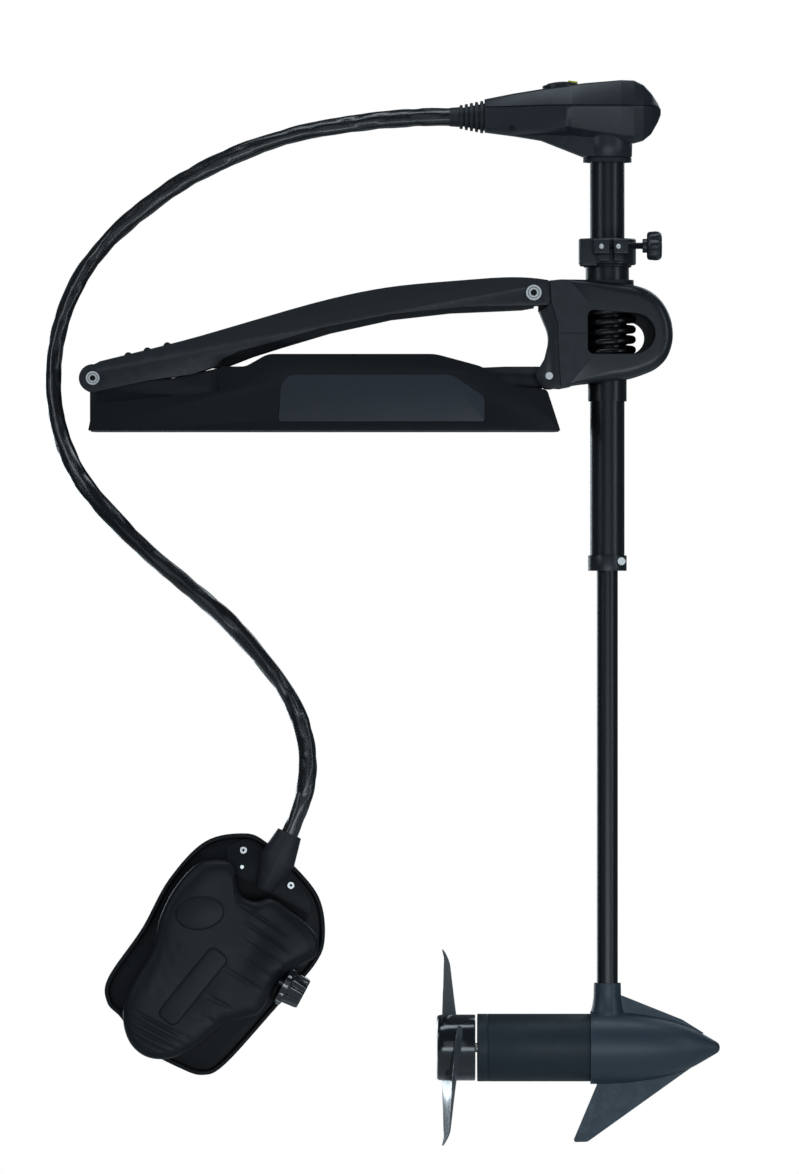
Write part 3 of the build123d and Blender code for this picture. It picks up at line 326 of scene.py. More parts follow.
def moulded(name, colour, roughness, grain, depth, wear, dust, specular=0.5, coat=0.0):
    """A dark moulded plastic, paint or rubber with grain, worn edges and a little dust."""
    material, tree, shader = blank_material(name)
    texture = place_group(tree, "grain", Scale=grain, Roughness=roughness, Drift=0.06)
    lighter = tuple(min(1.0, c * 1.35 + 0.001) for c in colour)
    paler = tuple(min(1.0, c * 3.2 + 0.012) for c in colour)
    tone = mix_colour(tree, texture["Tone"], colour, lighter)
    worn = place_group(tree, "wear", Amount=wear, Worn_Color=paler, Color=tone)
    film = place_group(tree, "dust", Amount=dust, Dust_Color=DUST, Color=worn["Color"])
    finish_shader(
        tree, shader, texture["Height"], 0.6, depth, Base_Color=film["Color"],
        Roughness=texture["Roughness"], Coat_Weight=coat, Coat_Roughness=0.12,
        Specular_IOR_Level=specular,
    )
    return material


def machined(name, colour, roughness):
    """A turned or drawn metal with directional marks."""
    material, tree, shader = blank_material(name)
    stretch = (60.0, 900.0, 60.0)
    texture = place_group(tree, "streaks", Stretch=stretch, Roughness=roughness, Swing=0.25)
    tone = noise_node(tree, object_coordinates(tree), 30.0, 3.0)
    darker = tuple(c * 0.7 for c in colour)
    finish_shader(
        tree, shader, texture["Height"], 0.4, 0.02, Metallic=1.0,
        Base_Color=mix_colour(tree, tone, darker, colour), Roughness=texture["Roughness"],
    )
    return material


MOULDED = {
    # finish: material, colour or the setting that holds it, its shade, roughness, grains per metre,
    # depth of the grain in millimetres, edge wear, dust, specular level, coat
    "head": ("head_plastic", "plastic", 1.3, 0.40, 1100, 0.05, 0.2, 0.03),
    "housing": ("housing_plastic", "plastic", 1.0, 0.36, 1000, 0.04, 0.25, 0.03),
    "cover": ("cover_plastic", "plastic", 0.5, 0.48, 700, 0.08, 0.25, 0.02, 0.20),
    "panel": ("panel_plastic", "plastic", 1.8, 0.5, 1400, 0.05, 0.1, 0.02, 0.45),
    # pedal plastic also colours the dark pieces painted as shade under the arm and in the yoke and deck
    "pedal": ("pedal_plastic", "plastic", 0.35, 0.5, 700, 0.08, 0.2, 0.02, 0.22),
    # blade: a grey far lighter than the other blacks, a painted reflection of the floor in the glossy
    # blades
    "blade": ("blade_plastic", (0.050, 0.056, 0.063), 1.0, 0.25, 1500, 0.01, 0.1, 0.0, 0.5, 0.6),
    "casting": ("arm_paint", "casting", 1.0, 0.40, 500, 0.05, 0.3, 0.04),
    # nose and can are copies of one motor paint; the nose copy is lighter, in part a painted highlight on
    # the nose
    "nose": ("nose_paint", "motor_paint", 1.7, 0.44, 650, 0.07, 0.25, 0.02),
    "can": ("can_paint", "motor_paint", 0.9, 0.52, 650, 0.07, 0.25, 0.02, 0.35),
    "rubber": ("boot_rubber", "plastic", 0.9, 0.62, 500, 0.07, 0.1, 0.06),
    # gap: near-black matte painted as the shade inside grooves, seams, sockets and screw recesses
    "gap": ("groove_shadow", (0.0015, 0.0015, 0.002), 1.0, 0.9, 400, 0.02, 0.0, 0.0),
    "tread": ("tread_skin", "tread", 1.0, 0.46, 420, 0.10, 0.15, 0.01, 0.26),
    "gloss": ("gloss_plastic", "plastic", 0.6, 0.16, 1500, 0.01, 0.1, 0.02, 0.5, 0.5),
    # spring: near-black, darker than the other blacks; partly the spring's own black paint, partly
    # painted shade inside the housing's window
    "spring": ("spring_paint", (0.0025, 0.0025, 0.003), 1.0, 0.28, 900, 0.02, 0.05, 0.0, 0.35),
    "pointer": ("pointer_paint", "pointer", 1.0, 0.3, 900, 0.02, 0.0, 0.0),
    "digits": ("digit_paint", (0.72, 0.72, 0.70), 1.0, 0.5, 900, 0.02, 0.0, 0.0),
    "natural": ("natural_nylon", (0.42, 0.40, 0.34), 1.0, 0.5, 700, 0.04, 0.0, 0.05),
    "board": ("board_laminate", (0.02, 0.10, 0.045), 1.0, 0.4, 300, 0.05, 0.0, 0.05),
}
MACHINED = {
    # finish: material, colour, roughness
    "steel": ("stainless", (0.88, 0.88, 0.87), 0.36),
    "bronze": ("sintered_bronze", (0.45, 0.28, 0.12), 0.4),
    "iron": ("varnished_iron", (0.12, 0.10, 0.09), 0.5),
}
MATERIALS = {}


def material_for(finish):
    """One of the object's finishes, built the first time it is asked for."""
    if finish not in MATERIALS:
        tones, _ = settings()
        if finish in MOULDED:
            name, colour, shade, *values = MOULDED[finish]
            tone = getattr(tones, colour) if isinstance(colour, str) else colour
            MATERIALS[finish] = moulded(name, tuple(c * shade for c in tone), *values)
        elif finish in MACHINED:
            MATERIALS[finish] = machined(*MACHINED[finish])
        elif finish == "tube":
            MATERIALS[finish] = tube_finish()
        else:
            MATERIALS[finish] = sheath_finish(tuple(tones.sheath))
    return MATERIALS[finish]


def tube_finish():
    """Black anodised tube, with drawing marks along its length."""
    material, tree, shader = blank_material("tube_black")
    stretch = (500.0, 500.0, 6.0)
    texture = place_group(tree, "streaks", Stretch=stretch, Roughness=0.33, Swing=0.10)
    tone = noise_node(tree, object_coordinates(tree), 14.0, 4.0)
    black = mix_colour(tree, tone, (0.004, 0.004, 0.005), (0.0075, 0.0078, 0.009))
    finish_shader(
        tree, shader, texture["Height"], 0.2, 0.01, Base_Color=black, Roughness=texture["Roughness"],
    )
    return material


def sheath_finish(colour):
    """Glossy plastic sleeve: smooth, with fine crinkles that follow its length."""
    material, tree, shader = blank_material("cord_sheath")
    layer = tree.nodes.new("ShaderNodeUVMap")
    layer.uv_map = "along"
    crinkle = scaled_vector(tree, layer.outputs["UV"], (55.0, 5.0, 1.0))
    crinkle = noise_node(tree, crinkle, 1.0, 4.0, 0.6)
    tone = noise_node(tree, object_coordinates(tree), 25.0, 3.0)
    paler = tuple(c * 1.6 for c in colour)
    finish_shader(
        tree, shader, crinkle, 0.5, 0.9, Base_Color=mix_colour(tree, tone, colour, paler),
        Roughness=math_node(tree, "ADD", product(tree, tone, 0.14), 0.13), Coat_Weight=0.4,
        Coat_Roughness=0.1,
    )
    return material


# ---------------------------------------------------------------- mesh helpers
def finish_piece(name, bm, node, finish, crease=35.0, replaces=False):
    """Turns a bmesh into a piece that rides with a CAD node, and may replace it."""
    mesh = bpy.data.meshes.new(name)
    bm.to_mesh(mesh)
    bm.free()
    mesh.shade_smooth()
    mesh.set_sharp_from_angle(angle=math.radians(crease))
    mesh.materials.append(material_for(finish))
    piece = bpy.data.objects.new(name, mesh)
    bpy.context.scene.collection.objects.link(piece)
    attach(piece, BODY_OF[node])
    if replaces:
        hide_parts(node)
    return piece


def cad_copy(node):
    """A merged copy of a CAD node's mesh, its flat areas cleared of needless edges."""
    bm = bmesh.new()
    bm.from_mesh(frame["nodes"][node].data)
    bmesh.ops.remove_doubles(bm, verts=bm.verts, dist=0.002 * MM)
    bmesh.ops.dissolve_limit(
        bm, angle_limit=math.radians(0.6), verts=bm.verts, edges=bm.edges, use_dissolve_boundaries=False,
    )
    return bm


def soften(bm, width, segments=3, sharp=30.0, shortest=0.0):
    """Rounds the edges that turn by more than an angle, by a width in millimetres."""
    limit = math.radians(sharp)
    edges = [
        e for e in bm.edges
        if len(e.link_faces) == 2 and e.calc_face_angle(0.0) > limit and e.calc_length() >= shortest
    ]
    if edges:
        bmesh.ops.bevel(
            bm, geom=edges, offset=width * MM, offset_type="OFFSET", segments=segments, profile=0.5,
            affect="EDGES", clamp_overlap=True, material=-1,
        )
    return bm


def softened_node(node, width, finish, segments=3):
    """Replaces a CAD node by a copy of it with its edges rounded."""
    bm = soften(cad_copy(node), width, segments)
    finish_piece(node + "_finished", bm, node, finish, 40.0, True)


def dress(node, finish):
    """Gives a CAD node that already has its shape a better material."""
    piece = frame["nodes"][node]
    for slot in piece.material_slots:
        slot.material = material_for(finish)


def add_part(bm, part):
    """Adds a finished bmesh to another one."""
    mesh = bpy.data.meshes.new("part")
    part.to_mesh(mesh)
    part.free()
    bm.from_mesh(mesh)
    bpy.data.meshes.remove(mesh)


def add_box(bm, across, deep, high, origin=(0.0, 0.0, 0.0), rounding=None):
    """Adds a box between two corners, in millimetres from an origin, with its edges rounded."""
    part = bmesh.new()
    bmesh.ops.create_cube(part, size=1.0)
    sides = (across, deep, high)
    centre = [(a + b) / 2 * MM + start for (a, b), start in zip(sides, origin)]
    bmesh.ops.scale(part, verts=part.verts, vec=[(b - a) * MM for a, b in sides])
    bmesh.ops.translate(part, verts=part.verts, vec=centre)
    if rounding:
        soften(part, *rounding)
    add_part(bm, part)


def arc(centre, radii, start, stop, steps):
    """Points round an ellipse from one angle to another, in degrees."""
    points = []
    for n in range(steps + 1):
        angle = math.radians(start + (stop - start) * n / steps)
        points.append(Vector(centre) + Vector((radii[0] * math.cos(angle), radii[1] * math.sin(angle))))
    return points


def turned_piece(bm, profile, origin, along, steps=48):
    """Spins a (distance, radius) profile in millimetres about a line; ends on the line are closed."""
    along = Vector(along).normalized()
    side = along.orthogonal().normalized()
    verts = [bm.verts.new(Vector(origin) + (along * a + side * r) * MM) for a, r in profile]
    edges = [bm.edges.new(pair) for pair in zip(verts, verts[1:])]
    bmesh.ops.spin(
        bm, geom=verts + edges, cent=origin, axis=along, angle=2 * math.pi, steps=steps, use_merge=True,
    )
    bmesh.ops.remove_doubles(bm, verts=bm.verts, dist=0.01 * MM)
    bmesh.ops.recalc_face_normals(bm, faces=bm.faces)


def join_rings(bm, rings, capped=True):
    """Walls between rings of points; the first and last are closed or joined to each other."""
    nexts = rings[1:] if capped else rings[1:] + rings[:1]
    for low, high in zip(rings, nexts):
        for k in range(len(low)):
            n = (k + 1) % len(low)
            bm.faces.new((low[k], low[n], high[n], high[k]))
    if capped:
        bm.faces.new(list(reversed(rings[0])))
        bm.faces.new(rings[-1])
    bmesh.ops.recalc_face_normals(bm, faces=bm.faces)


# ---------------------------------------------------------------- stage
COOL = (0.80, 0.92, 1.0)
PICTURE_CENTRE = Vector((0.1013, 0.0, -0.2115))
FLOOR_RADIUS = 1.9
FLOOR_GLOW = 0.72
SENSOR = 36.0


def area_light(name, place, aim, size, energy):
    """A cool soft box at a place, turned towards its aim."""
    light = bpy.data.lights.new(name, "AREA")
    light.shape = "RECTANGLE"
    light.size, light.size_y = size
    light.energy = energy
    light.color = COOL
    lamp = bpy.data.objects.new(name, light)
    lamp.location = place
    lamp.rotation_euler = (Vector(aim) - Vector(place)).to_track_quat("-Z", "Y").to_euler()
    bpy.context.scene.collection.objects.link(lamp)


class TROLLING_OT_stage(bpy.types.Operator):
    """Floor, soft light and the camera"""

    bl_idname = "trolling.stage"
    bl_label = "Stage"

    def execute(self, context):
        stage = context.scene.trolling_stage
        floor_z = CAD_BOX[0][2] - stage.floor_drop
        bm = bmesh.new()
        bmesh.ops.create_circle(bm, cap_ends=True, radius=FLOOR_RADIUS, segments=96)
        bmesh.ops.translate(bm, verts=bm.verts, vec=(PICTURE_CENTRE.x, 0.0, floor_z))
        mesh = bpy.data.meshes.new("floor")
        bm.to_mesh(mesh)
        bm.free()
        floor = bpy.data.objects.new("floor", mesh)
        context.scene.collection.objects.link(floor)
        material, tree, shader = blank_material("pale_floor")
        tone = noise_node(tree, object_coordinates(tree), 3.0, 3.0)
        paint = mix_colour(tree, tone, (0.9, 0.9, 0.9), (0.94, 0.94, 0.94))
        feed(tree, shader, Base_Color=paint, Roughness=0.9)
        glow = tree.nodes.new("ShaderNodeEmission")
        glow.inputs["Strength"].default_value = FLOOR_GLOW
        both = tree.nodes.new("ShaderNodeAddShader")
        tree.links.new(shader.outputs["BSDF"], both.inputs[0])
        tree.links.new(glow.outputs["Emission"], both.inputs[1])
        seen = tree.nodes.new("ShaderNodeMixShader")
        path = tree.nodes.new("ShaderNodeLightPath")
        tree.links.new(path.outputs["Is Camera Ray"], seen.inputs["Fac"])
        tree.links.new(shader.outputs["BSDF"], seen.inputs[1])
        tree.links.new(both.outputs["Shader"], seen.inputs[2])
        tree.links.new(seen.outputs["Shader"], tree.nodes["Material Output"].inputs["Surface"])
        mesh.materials.append(material)
        camera_data = bpy.data.cameras.new("camera")
        camera_data.sensor_fit = "VERTICAL"
        camera_data.sensor_height = SENSOR
        camera_data.lens = SENSOR * stage.view_distance / stage.view_height
        camera = bpy.data.objects.new("camera", camera_data)
        camera.location = PICTURE_CENTRE + Vector((0.0, -stage.view_distance, 0.0))
        camera.rotation_euler = (math.pi / 2, 0.0, 0.0)
        context.scene.collection.objects.link(camera)
        context.scene.camera = camera
        context.scene.view_settings.view_transform = "Standard"
        self.light(context)
        return {"FINISHED"}

    def light(self, context):
        """A white surround that the picture sees, dimmer in reflections, and soft boxes."""
        world = bpy.data.worlds.new("studio")
        context.scene.world = world
        world.use_nodes = True
        tree = world.node_tree
        seen = tree.nodes["Background"]
        feed(tree, seen, Color=(1.0, 1.0, 1.0), Strength=1.0)
        soft = tree.nodes.new("ShaderNodeBackground")
        feed(tree, soft, Color=(0.70, 0.87, 1.0), Strength=0.11)
        path = tree.nodes.new("ShaderNodeLightPath")
        blend = tree.nodes.new("ShaderNodeMixShader")
        tree.links.new(path.outputs["Is Camera Ray"], blend.inputs["Fac"])
        tree.links.new(soft.outputs["Background"], blend.inputs[1])
        tree.links.new(seen.outputs["Background"], blend.inputs[2])
        tree.links.new(blend.outputs["Shader"], tree.nodes["World Output"].inputs["Surface"])
        for name, place, size, energy in (
            ("box_front", (0.9, -9.0, 0.9), (4.5, 4.5), 38),
            ("box_left", (-2.6, -2.4, 1.4), (0.7, 2.6), 24),
            ("box_right", (2.9, -1.9, 0.2), (0.35, 2.8), 16),
            ("box_top", (0.3, -0.5, 2.4), (2.4, 0.7), 24),
            ("rim_back", (1.6, 2.4, 1.4), (0.8, 2.2), 12),
            ("rim_low", (-1.2, 2.2, -0.4), (0.8, 1.6), 16),
        ):
            area_light(name, place, PICTURE_CENTRE, size, energy)
        area_light("box_low", (0.6, -2.4, -0.95), (0.4, 0.0, 0.2), (2.2, 0.5), 15)


# ---------------------------------------------------------------- castings, covers, tubes
class TROLLING_OT_mount(bpy.types.Operator):
    """Base plate, channel, covers and their panels"""

    bl_idname = "trolling.mount"
    bl_label = "Deck mount"

    def execute(self, context):
        softened_node("base_plate", 1.5, "casting", 2)
        softened_node("base_channel", 0.8, "casting", 2)
        for side in ("near", "far"):
            softened_node("side_cover_" + side, 2.5, "cover", 3)
        softened_node("label_panels", 0.5, "panel", 2)
        return {"FINISHED"}


HUB_Z = middle("coil_spring").z
HUB_CENTRE = Vector((8.0, 2.0))
HUB_BORE = 29.95
HUB_BOW = [
    # the housing's outline from its top shoulder round the bow to its foot, from the shaft
    (-100, 74), (-64, 74), (-28, 73.5), (10, 70), (40, 65), (60, 56.5), (75, 42), (85, 22), (88.4, 0),
    (86, -18), (79, -34), (67, -46), (50, -54), (27, -61), (-5, -65), (-40, -68.5), (-64, -73),
    (-100, -80),
]
HUB_JOINT = [(-64, -73), (-66, -44), (-68, -12), (-68, 12), (-77, 43), (-79, 72.5), (-64, 74)]
HUB_ROUNDING = [
    # inset of the outline at each depth from the split, for a shell that is HUB_DEPTH deep
    (0.0, 0.0), (0.0, 30.0), (0.9, 35.5), (2.9, 40.0), (6.0, 43.2), (10.0, 45.2), (15.0, 46.0),
]
HUB_DEPTH = 46.0
HUB_WALL = 5.0
BOW_START, BOW_RUN = -64.0, 70.0
WINDOW_END, WINDOW_HALF = (34.0, 0.5), (30.0, 27.5)
WINDOW_CORNER = (8.0, 8.0)
LINER_NEAR, LINER_FAR = 40.0, 44.0


def hub_outline():
    """The housing's outline: a smooth bow and a straight-sided joint with the arm."""
    bow = [Vector(p) for p in HUB_BOW]
    outline = []
    for a, b, c, d in zip(bow, bow[1:], bow[2:], bow[3:]):
        outline += [catmull(a, b, c, d, n / 10) for n in range(10)]
    outline.append(bow[-2])
    joint = [Vector(p) for p in HUB_JOINT]
    for a, b in zip(joint, joint[1:]):
        outline += [a.lerp(b, n / 4) for n in range(1, 5)]
    return outline[:-1]


def hub_window():
    """The window's outline: square shoulders aft, a half ellipse forward."""
    forward = arc(WINDOW_END, WINDOW_HALF, -90, 90, 30)
    shoulder = arc((-19, 24), WINDOW_CORNER, 90, 180, 6)
    return forward + shoulder + arc((-19, -19), WINDOW_CORNER, 180, 270, 6)


def hub_opening(spot):
    """Half of the opening that the sleeve passes and swings in, cut into the split edge."""
    swing = 1.0 if spot.y > 0 else 8.5
    past = max(0.0, abs(spot.x) - swing)
    return math.sqrt(max(0.0, HUB_BORE ** 2 - past ** 2))


def cast_from(centre, towards, polygon):
    """Where the ray from a centre through a point crosses a polygon."""
    run = towards - centre
    for a, b in zip(polygon, polygon[1:] + polygon[:1]):
        edge = b - a
        across = run.x * edge.y - run.y * edge.x
        if abs(across) < 1e-9:
            continue
        gap = a - centre
        along = (gap.x * edge.y - gap.y * edge.x) / across
        share = (gap.x * run.y - gap.y * run.x) / across
        if along > 0 and -1e-6 <= share <= 1 + 1e-6:
            return centre + run * along
    return centre


def catmull(a, b, c, d, t):
    """A point of the Catmull-Rom curve between b and c."""
    square = (2 * a - 5 * b + 4 * c - d) * t * t
    return 0.5 * (2 * b + (c - a) * t + square + (3 * b - a - 3 * c + d) * t ** 3)


def inset_outline(points, distance):
    """Moves each point of a closed clockwise or anticlockwise curve inwards."""
    area = sum(a.x * b.y - b.x * a.y for a, b in zip(points, points[1:] + points[:1]))
    turn = 1.0 if area > 0 else -1.0
    moved = []
    for k, point in enumerate(points):
        run = (points[(k + 1) % len(points)] - points[k - 1]).normalized()
        moved.append(point + Vector((-run.y, run.x)) * turn * distance)
    return moved


UNDERSIDE_SHADE_DROPS = [
    # place along the arm, how far the dark strip painted as the shade under the arm hangs below its sides
    (-152, 1), (-140, 9), (-129, 13), (-98, 12), (-60, 10.5), (7, 9), (90, 7), (170, 6.2), (240, 6.2),
    (268, 5.5), (284, 3),
]
# dark boxes painted as the shade in openings of the yoke and of the deck channel
SHADE_FILLERS = (
    # piece, node it closes, corners
    ("yoke_filler", "bracket_yoke", (290, 312), (-26, 26), (163, 182)),
    ("deck_filler", "base_channel", (266, 295), (-14, 14), (52, 61.8)),
)


class TROLLING_OT_arms(bpy.types.Operator):
    """Upper arm, lower arm, yoke and hub housing"""

    bl_idname = "trolling.arms"
    bl_label = "Arms and housing"

    def execute(self, context):
        softened_node("upper_arm", 2.0, "casting", 3)
        softened_node("lower_link", 2.0, "casting", 3)
        softened_node("bracket_yoke", 1.6, "casting", 3)
        for side in ("near", "far"):
            self.hub_shell("hub_shell_" + side)
        self.window_liner()
        self.arm_web()
        return {"FINISHED"}

    def window_liner(self):
        """The far wall of the spring's window, whose opening is smaller than the near one."""
        hub = Vector((SHAFT_X, 0.0, HUB_Z))
        outer = arc(WINDOW_END, (31.5, 29), -90, 90, 24)[1:-1]
        outer = [(-29, -28.5), (34, -28.5), *outer, (34, 30), (-29, 33.5)]
        inner = arc((28, -4.5), (23, 22.1), -90, 90, 24)[1:-1]
        inner = [(-29, -26.6), (28, -26.6), *inner, (28, 17.5), (-29, 17.5)]
        bm = bmesh.new()
        rings = []
        for a, b in zip(outer, inner):
            section = ((a, LINER_NEAR), (b, LINER_NEAR), (b, LINER_FAR), (a, LINER_FAR))
            rings.append([bm.verts.new(hub + Vector((x, y, z)) * MM) for (x, z), y in section])
        join_rings(bm, rings)
        finish_piece("window_liner", bm, "hub_shell_far", "housing")

    def hub_shell(self, node):
        """One half of the housing: a well rounded shell round the spring, with its window."""
        low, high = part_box(node)
        side = -1.0 if abs(low[1]) > abs(high[1]) else 1.0
        face = max(abs(low[1]), abs(high[1])) / MM
        outline = hub_outline()
        window = [cast_from(HUB_CENTRE, q, hub_window()) for q in outline]
        eased = [HUB_CENTRE + (q - HUB_CENTRE) * 1.02 for q in window]
        inner = inset_outline(outline, HUB_WALL)
        # the rounding fades out towards the joint with the arm
        shares = [min(1.0, max(0.05, (q.x - BOW_START) / BOW_RUN)) for q in outline]
        stages = []
        for inset, depth in HUB_ROUNDING:
            moved = zip(outline, inset_outline(outline, inset), shares)
            stages.append(([a.lerp(b, share) for a, b, share in moved], depth * face / HUB_DEPTH))
        stages += [(eased, face), (window, face - 1.0), (window, face - 6.0)]
        stages += [(inner, face - 6.0), (inner, 0.0)]
        bm = bmesh.new()
        rings = []
        for points, depth in stages:
            ring = []
            for q in points:
                y = side * (depth or hub_opening(q))
                ring.append(bm.verts.new((SHAFT_X + q.x * MM, y * MM, HUB_Z + q.y * MM)))
            rings.append(ring)
        join_rings(bm, rings, False)
        finish_piece(node + "_finished", bm, node, "housing", 40.0, True)
        # a thin near-black strip on the shell's face, painted as the shade in the seam between the halves
        bm = bmesh.new()
        skin = side * (face + 0.05)
        add_box(bm, (-64.5, -26.5), (skin - 0.25, skin + 0.25), (0.35, 1.25), (SHAFT_X, 0.0, HUB_Z))
        finish_piece(node + "_seam", bm, node, "gap")

    def arm_web(self):
        """A dark strip that hangs below the arm's sides, painted as the shade under the arm, and dark
        fillers painted as the shade in the yoke and deck.
        """
        tree = BVHTree.FromBMesh(cad_copy("upper_arm"))
        low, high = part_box("upper_arm")
        bm = bmesh.new()
        rings = []
        for x, drop in UNDERSIDE_SHADE_DROPS:
            start = Vector((x * MM, low[1] + 2.5 * MM, -1.0))
            hit = tree.ray_cast(start, Vector((0, 0, 1)))[0]
            if hit:
                section = (
                    (low[1] + 2.2 * MM, hit.z + 5 * MM), (high[1] - 2.2 * MM, hit.z + 5 * MM),
                    (high[1] - 3.5 * MM, hit.z - drop * MM), (low[1] + 3.5 * MM, hit.z - drop * MM),
                )
                rings.append([bm.verts.new((x * MM, y, z)) for y, z in section])
        join_rings(bm, rings)
        finish_piece("arm_web", bm, "upper_arm", "pedal")
        for name, node, across, deep, high in SHADE_FILLERS:
            bm = bmesh.new()
            add_box(bm, across, deep, high)
            finish_piece(name, bm, node, "pedal")


KNOB_PROFILE = [
    # distance back from the knob's end, radius
    (0, 0), (0, 14.5), (1.2, 17.4), (4.5, 19.6), (9, 20), (17.5, 19.2), (19.5, 17.8), (20.2, 15.5),
    (20.2, 9.5), (25.5, 9.5), (26.2, 8.8), (26.2, 4.8),
]
THREAD_RADIUS = 4.8
THREAD_PITCH = 1.8
COLLAR_PROFILE = [
    # height over the collar's foot, radius
    (0, 23.5), (0, 31.5), (1.5, 33), (3, 33), (3.5, 37.5), (5, 39), (37.4, 39), (39, 37.4), (39, 23.5),
    (0, 23.5),
]
CLAMP_BLOCKS = (
    # across, deep and high, from the shaft and the collar's foot
    ((-20, 2.5), (-55, -28), (17, 37)), ((7.5, 28), (-55, -28), (17, 37)),
    ((-14, 2.5), (-50, -28), (7, 18)), ((7.5, 20), (-50, -28), (7, 18)),
    ((-38, -14), (-36, -10), (1, 38.5)),
)
CLAMP_SCREWS = (-9, 14)


class TROLLING_OT_column(bpy.types.Operator):
    """Sleeve, collars, tubes and the thumbscrew"""

    bl_idname = "trolling.column"
    bl_label = "Column"

    def execute(self, context):
        self.collar()
        self.thumbscrew()
        softened_node("lower_collar", 1.0, "housing", 2)
        for node in ("guide_sleeve", "outer_tube", "inner_shaft"):
            dress(node, "tube")
        dress("seal_ring", "rubber")
        dress("neck_ring", "rubber")
        dress("coil_spring", "spring")
        return {"FINISHED"}

    def thumbscrew(self):
        """The clamp's thumbscrew: a threaded stem, a flange and a lobed, rounded knob."""
        low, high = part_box("depth_knob")
        spot = middle("depth_knob")
        length = (high[0] - low[0]) / MM
        bm = bmesh.new()
        profile = [(length - back, radius) for back, radius in KNOB_PROFILE]
        at = profile[-1][0]
        while at > 3.0:
            profile += [(at - THREAD_PITCH / 2, THREAD_RADIUS - 0.9), (at - THREAD_PITCH, THREAD_RADIUS)]
            at -= THREAD_PITCH
        profile += [(0.0, THREAD_RADIUS), (0.0, 0.0)]
        origin = Vector((low[0], spot.y, spot.z))
        turned_piece(bm, profile, origin, (1, 0, 0), 72)
        for vert in bm.verts:
            away = vert.co - origin
            out = Vector((0.0, away.y, away.z))
            if out.length > 11 * MM:
                lobe = 0.5 + 0.5 * math.cos(7 * math.atan2(out.z, out.y))
                vert.co -= out.normalized() * 2.4 * MM * lobe ** 2
        finish_piece("thumbscrew", bm, "depth_knob", "housing", 40.0, True)

    def collar(self):
        """The clamp collar: two steps, a slit, a pair of clamp blocks and their screws."""
        low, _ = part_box("depth_collar")
        foot = Vector((SHAFT_X, 0.0, low[2]))
        bm = bmesh.new()
        turned_piece(bm, COLLAR_PROFILE, foot, (0, 0, 1), 72)
        for across, deep, high in CLAMP_BLOCKS:
            add_box(bm, across, deep, high, foot, (2.2, 4))
        finish_piece("collar_clamp", bm, "depth_collar", "housing", 40.0, True)
        bm = bmesh.new()
        for x in CLAMP_SCREWS:
            screw = [(0, 0), (0, 2.9), (0.5, 3.4), (2.2, 3.4)]
            turned_piece(bm, screw, foot + Vector((x, -56.2, 27.0)) * MM, (0, 1, 0), 24)
        finish_piece("collar_screws", bm, "depth_collar", "steel")


HEAD_STATIONS = [
    # x from the shaft; heights of top, seam, side foot and keel from the seam; half widths of each
    (-167.0, 10.0, -1.5, -30.0, -35.0, 15.0, 22.0, 21.0, 15.0),
    (-128.0, 17.5, -1.0, -34.0, -40.0, 24.0, 31.0, 29.0, 18.0),
    (-84.0, 24.5, 0.0, -33.0, -40.0, 31.0, 42.0, 39.5, 20.0),
    (-56.0, 28.0, 0.0, -29.0, -42.0, 36.0, 50.0, 46.0, 22.0),
    (-50.0, 29.0, 0.0, -29.5, -42.5, 37.0, 52.0, 40.0, 22.0),
    (-30.0, 31.5, 0.0, -33.0, -45.0, 38.0, 52.5, 38.0, 24.0),
    (18.0, 35.5, 0.0, -40.0, -50.0, 37.0, 52.0, 36.0, 25.0),
    (36.0, 35.0, 0.0, -41.5, -49.5, 34.0, 48.0, 33.0, 23.0),
    (49.0, 29.0, 0.0, -38.5, -46.0, 29.0, 41.0, 28.0, 20.0),
    (60.0, 17.5, 0.0, -31.0, -37.0, 22.0, 32.0, 22.0, 16.0),
    (68.5, 4.5, -1.0, -18.0, -22.0, 14.0, 22.0, 16.0, 12.0),
    (72.5, -4.0, -5.0, -10.0, -12.0, 10.0, 15.0, 12.0, 9.0),
]


def head_half(upper):
    """One shell of the head: stations joined by flat facets, closed at both ends."""
    bm = bmesh.new()
    rings = []
    for x, top, seam, foot, keel, top_w, seam_w, foot_w, keel_w in HEAD_STATIONS:
        if upper:
            half = [(0.0, top), (top_w * 0.55, top - 0.4), (top_w, top - 2.5)]
            half += [(seam_w, seam + 0.35), (0.0, seam + 0.35)]
        else:
            half = [(0.0, seam), (seam_w - 1.2, seam), (seam_w - 1.5, seam - 3)]
            half += [(foot_w, foot), (keel_w, keel), (0.0, keel)]
        full = half[1:] + [(-y, z) for y, z in reversed(half[1:-1])] + [half[0]]
        rings.append([bm.verts.new((SHAFT_X + x * MM, y * MM, HEAD_SEAM_Z + z * MM)) for y, z in full])
    join_rings(bm, rings)
    return bm


NECK_PROFILE = [(0.0, 0.0), (0.0, 31.0), (2.0, 33.5), (20.0, 34.0), (46.0, 34.0), (46.0, 0.0)]
NECK_DROP = 70.0
KEEL_OUTLINE = [(-166, -34), (-140, -38), (-90, -46), (-32, -68.5), (-10, -68.5), (-10, -36), (-166, -26)]
DIAL_PROFILE = [
    # height over the seam, radius
    (18, 0), (18, 23), (27.5, 24.5), (29.5, 24.2), (30.2, 22.8), (30.0, 21.2), (32.5, 16), (33.5, 8),
    (33.8, 0),
]


def add_head_neck(bm):
    """The round neck over the tube and the keel that runs from it to the cord's boot."""
    turned_piece(bm, NECK_PROFILE, (SHAFT_X, 0.0, HEAD_SEAM_Z - NECK_DROP * MM), (0, 0, 1))
    part = bmesh.new()
    rings = []
    for side in (-1, 1):
        ring = []
        for x, z in KEEL_OUTLINE:
            y = side * (13.0 + 16.0 * (x + 166) / 156)
            ring.append(part.verts.new((SHAFT_X + x * MM, y * MM, HEAD_SEAM_Z + z * MM)))
        rings.append(ring)
    join_rings(part, rings)
    add_part(bm, part)
    bmesh.ops.recalc_face_normals(bm, faces=bm.faces)


